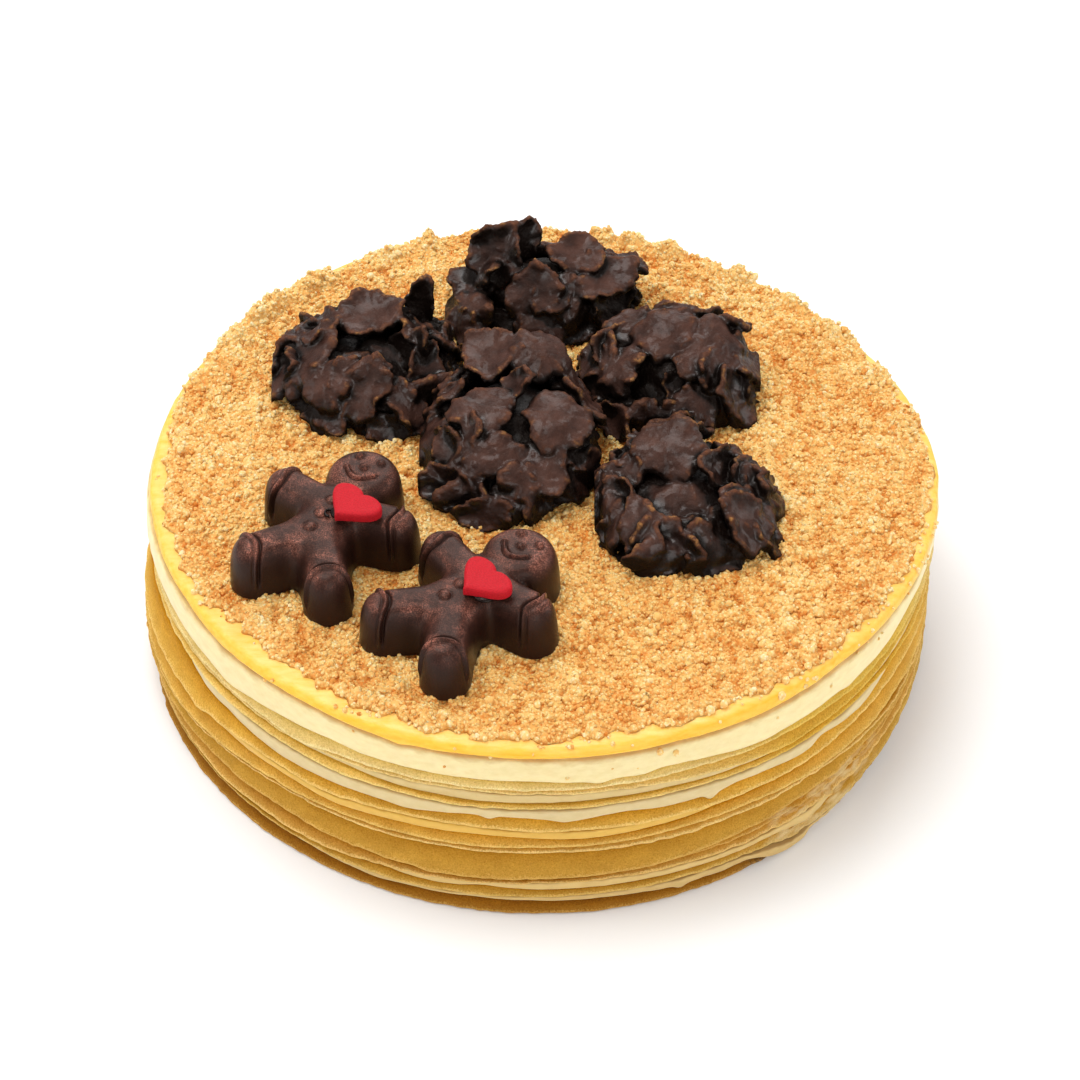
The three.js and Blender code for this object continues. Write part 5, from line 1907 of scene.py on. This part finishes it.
    def _cuff(self, away: Array, near: Array, low: Array) -> Array:
        """A piped line round a limb, with a groove beside it.

        Args:
            away: distance from the line along the limb.
            near: True on the limb.
            low: fades the line toward the foot.

        Returns:
            How far each vertex is moved outward.
        """
        line = np.zeros(len(away))
        for high, at, wide in ((0.7, 0, 0.45), (-0.75, -1.0, 0.42), (-0.25, 0.95, 0.35)):
            line += high * np.exp(-(((away - at) / wide) ** 2))
        return np.where(near, line * low, 0)


@dataclass
class SugarHeart:
    """A pressed sugar heart on a figure's chest."""

    side: str
    at: Triple  # x and y on the figure, and how far it is turned
    width: float = 15.0
    thickness: float = 3.0
    level: float = 14.75  # height of its underside above the figure's foot

    def build(self, material: Material) -> Piece:
        """Build the heart.

        Args:
            material: the sugar.

        Returns:
            The piece.
        """
        bm = bmesh.new()
        verts = bmesh.ops.create_circle(bm, cap_ends=True, segments=64, radius=1)["verts"]
        for vert in verts:
            t = math.atan2(vert.co.x, vert.co.y)
            across = 16 * math.sin(t) ** 3
            up = 12 * math.cos(t) - 3.4 * math.cos(2 * t) - 1.2 * math.cos(3 * t) - 0.3 * math.cos(4 * t)
            vert.co = Vector((across * self.width / 32, (up + 1.6) * self.width / 32, 0))
        bmesh.ops.remove_doubles(bm, verts=bm.verts, dist=0.02)
        raised = bmesh.ops.extrude_face_region(bm, geom=bm.faces[:])["geom"]
        verts, lid = Mesher.sorted_out(raised)
        bmesh.ops.translate(bm, verts=verts, vec=(0, 0, self.thickness))
        bmesh.ops.recalc_face_normals(bm, faces=bm.faces)
        rim = list({e for f in lid for e in f.edges})
        bmesh.ops.bevel(bm, geom=rim, offset=0.9, affect="EDGES", segments=4, profile=0.5, material=-1)
        bmesh.ops.triangulate(bm, faces=bm.faces)
        bmesh.ops.recalc_face_normals(bm, faces=bm.faces)
        mesh = Mesher.fused(Mesher.from_bmesh(bm, "heart"), 0.3)
        co = Mesher.relax(Mesher.coords(mesh), Mesher.edges(mesh), 6)
        middle = np.exp(-((co[:, 0] ** 2 + co[:, 1] ** 2) / 18))
        co[:, 2] -= 0.3 * middle * (co[:, 2] > self.thickness * 0.6)
        x, y, spin = self.at
        co = co @ np.array(Matrix.Rotation(math.radians(spin), 3, "Z")).T + (x, y, self.level)
        Mesher.set_coords(mesh, on_man(self.side, co))
        return Placer.place(f"{self.side}_heart_sugar", mesh, material, "sugar_heart", f"{self.side}_heart")


@dataclass(frozen=True)
class ChocolateDab:
    """Melted chocolate that holds a heart: a flat dab and, beside one heart, a thin curl."""

    side: str
    dab: Triple  # x, y and radius
    curl: Triple | None = None  # x, y and radius of its turn
    level: float = 14.4  # height above the figure's foot
    thread: float = 0.34  # radius of the curl's thread

    def build(self, material: Material) -> Piece:
        """Build the dab.

        Args:
            material: the melted chocolate.

        Returns:
            The piece.
        """
        bm = bmesh.new()
        x, y, wide = self.dab
        verts = bmesh.ops.create_icosphere(bm, subdivisions=3, radius=1)["verts"]
        bmesh.ops.scale(bm, verts=verts, vec=(wide, wide, 0.9))
        bmesh.ops.translate(bm, verts=verts, vec=(x, y, self.level))
        if self.curl:
            x, y, wide = self.curl
            ring = bmesh.ops.create_circle(bm, cap_ends=True, segments=10, radius=self.thread)["verts"]
            bmesh.ops.rotate(bm, verts=ring, cent=(0, 0, 0), matrix=Matrix.Rotation(math.pi / 2, 3, "X"))
            bmesh.ops.translate(bm, verts=ring, vec=(x + wide, y, self.level))
            start = [*ring, *{e for v in ring for e in v.link_edges},
                     *{f for v in ring for f in v.link_faces}]
            bmesh.ops.spin(bm, geom=start, cent=(x, y, self.level), axis=(0, 0, 1), dvec=(0, 0, 0), angle=5.2,
                           steps=22, use_duplicate=False)
        bmesh.ops.triangulate(bm, faces=bm.faces)
        bmesh.ops.recalc_face_normals(bm, faces=bm.faces)
        mesh = Mesher.from_bmesh(bm, "dab")
        Mesher.set_coords(mesh, on_man(self.side, Mesher.coords(mesh)))
        return Placer.place(f"{self.side}_heart_dab", mesh, material, "moulded_chocolate")


# ---- the studio
@dataclass
class Studio:
    """Pale floor, soft light and the camera."""

    camera_at: Triple = (-0.186, -639.28, 615.66)
    pitch: float = 42.4876
    lens: float = 110.38
    # Name, place and side in metres, and power in watts.
    lamps: tuple[tuple[str, Triple, float, float], ...] = (
        ("key", (-0.25, 0.1, 1.0), 0.6, 7.0), ("front", (0.25, -1.0, 0.5), 0.65, 4.2),
        ("back", (0.1, 0.95, 0.75), 0.65, 4.3), ("left", (-1.05, -0.2, 0.5), 0.65, 3.2),
        ("right", (1.05, 0.1, 0.5), 0.65, 3.3))

    def build(self) -> None:
        """Build the floor, the lights and the camera."""
        self._floor()
        self._world()
        for lamp in self.lamps:
            self._lamp(*lamp)
        camera = bpy.data.cameras.new("camera")
        camera.lens = self.lens
        camera.sensor_width = 36
        camera.clip_start, camera.clip_end = 0.01, 20
        holder = bpy.data.objects.new("camera", camera)
        holder.location = (np.array(self.camera_at) + AXIS) * MM
        holder.rotation_euler = (math.radians(90 - self.pitch), 0, 0)
        bpy.context.scene.collection.objects.link(holder)
        bpy.context.scene.camera = holder
        bpy.context.scene.view_settings.view_transform = "Standard"

    def _floor(self) -> None:
        """A wide pale floor just under the cake."""
        bm = bmesh.new()
        bmesh.ops.create_grid(bm, x_segments=2, y_segments=2, size=6)
        bmesh.ops.translate(bm, verts=bm.verts, vec=(0, 0, -0.0002))
        floor = bpy.data.objects.new("floor", Mesher.from_bmesh(bm, "floor"))
        shader = Shader("floor")
        pale = shader.ramp(shader.grain(900, detail=1), (0.0, (247, 247, 247)), (1.0, (251, 251, 251)))
        shader.link(pale, "Base Color")
        shader.set(Roughness=0.9, Specular_IOR_Level=0.1)
        floor.data.materials.append(shader.material)
        bpy.context.scene.collection.objects.link(floor)

    def _world(self) -> None:
        """An even white surround."""
        world = bpy.data.worlds.new("surround")
        world.use_nodes = True
        world.node_tree.nodes["Background"].inputs["Color"].default_value = (1, 1, 1, 1)
        world.node_tree.nodes["Background"].inputs["Strength"].default_value = 0.4
        bpy.context.scene.world = world

    def _lamp(self, name: str, at: Triple, size: float, power: float) -> None:
        """A square soft lamp aimed at the cake.

        Args:
            name: the lamp's name.
            at: where it hangs, in metres.
            size: its side.
            power: its power in watts.
        """
        lamp = bpy.data.lights.new(name, "AREA")
        lamp.size = size
        lamp.energy = power
        holder = bpy.data.objects.new(name, lamp)
        holder.location = at
        holder.rotation_euler = (Vector((0, 0, 0.04)) - Vector(at)).to_track_quat("-Z", "Y").to_euler()
        bpy.context.scene.collection.objects.link(holder)


def main() -> None:
    """Build the cake and the studio."""
    CrepeStack().build()
    CrumbTopping().build()
    flakes = FlakeFinish().build()
    for number, name in enumerate(HEAP_CORES):
        FlakeHeap(name, 100 + number * 20).build(flakes)
    mould, sugar = MouldFinish().build(), SugarFinish().build()
    for side, heart in (("left", (5.8, -16.4, -16)), ("right", (3.8, -17.4, -8))):
        GingerbreadMan(side).build(mould)
        SugarHeart(side, heart).build(sugar)
    melted = MouldFinish("melted_chocolate", (20, 12, 10), (20, 12, 10), (0.14, 0.22)).build()
    ChocolateDab("left", (3.2, -18.2, 2.2), (1.3, -19.4, 1.25)).build(melted)
    ChocolateDab("right", (6.2, -18.8, 2.9)).build(melted)
    Studio().build()


if __name__ == "__main__":
    logging.basicConfig(level=logging.INFO, format="%(message)s")
    main()
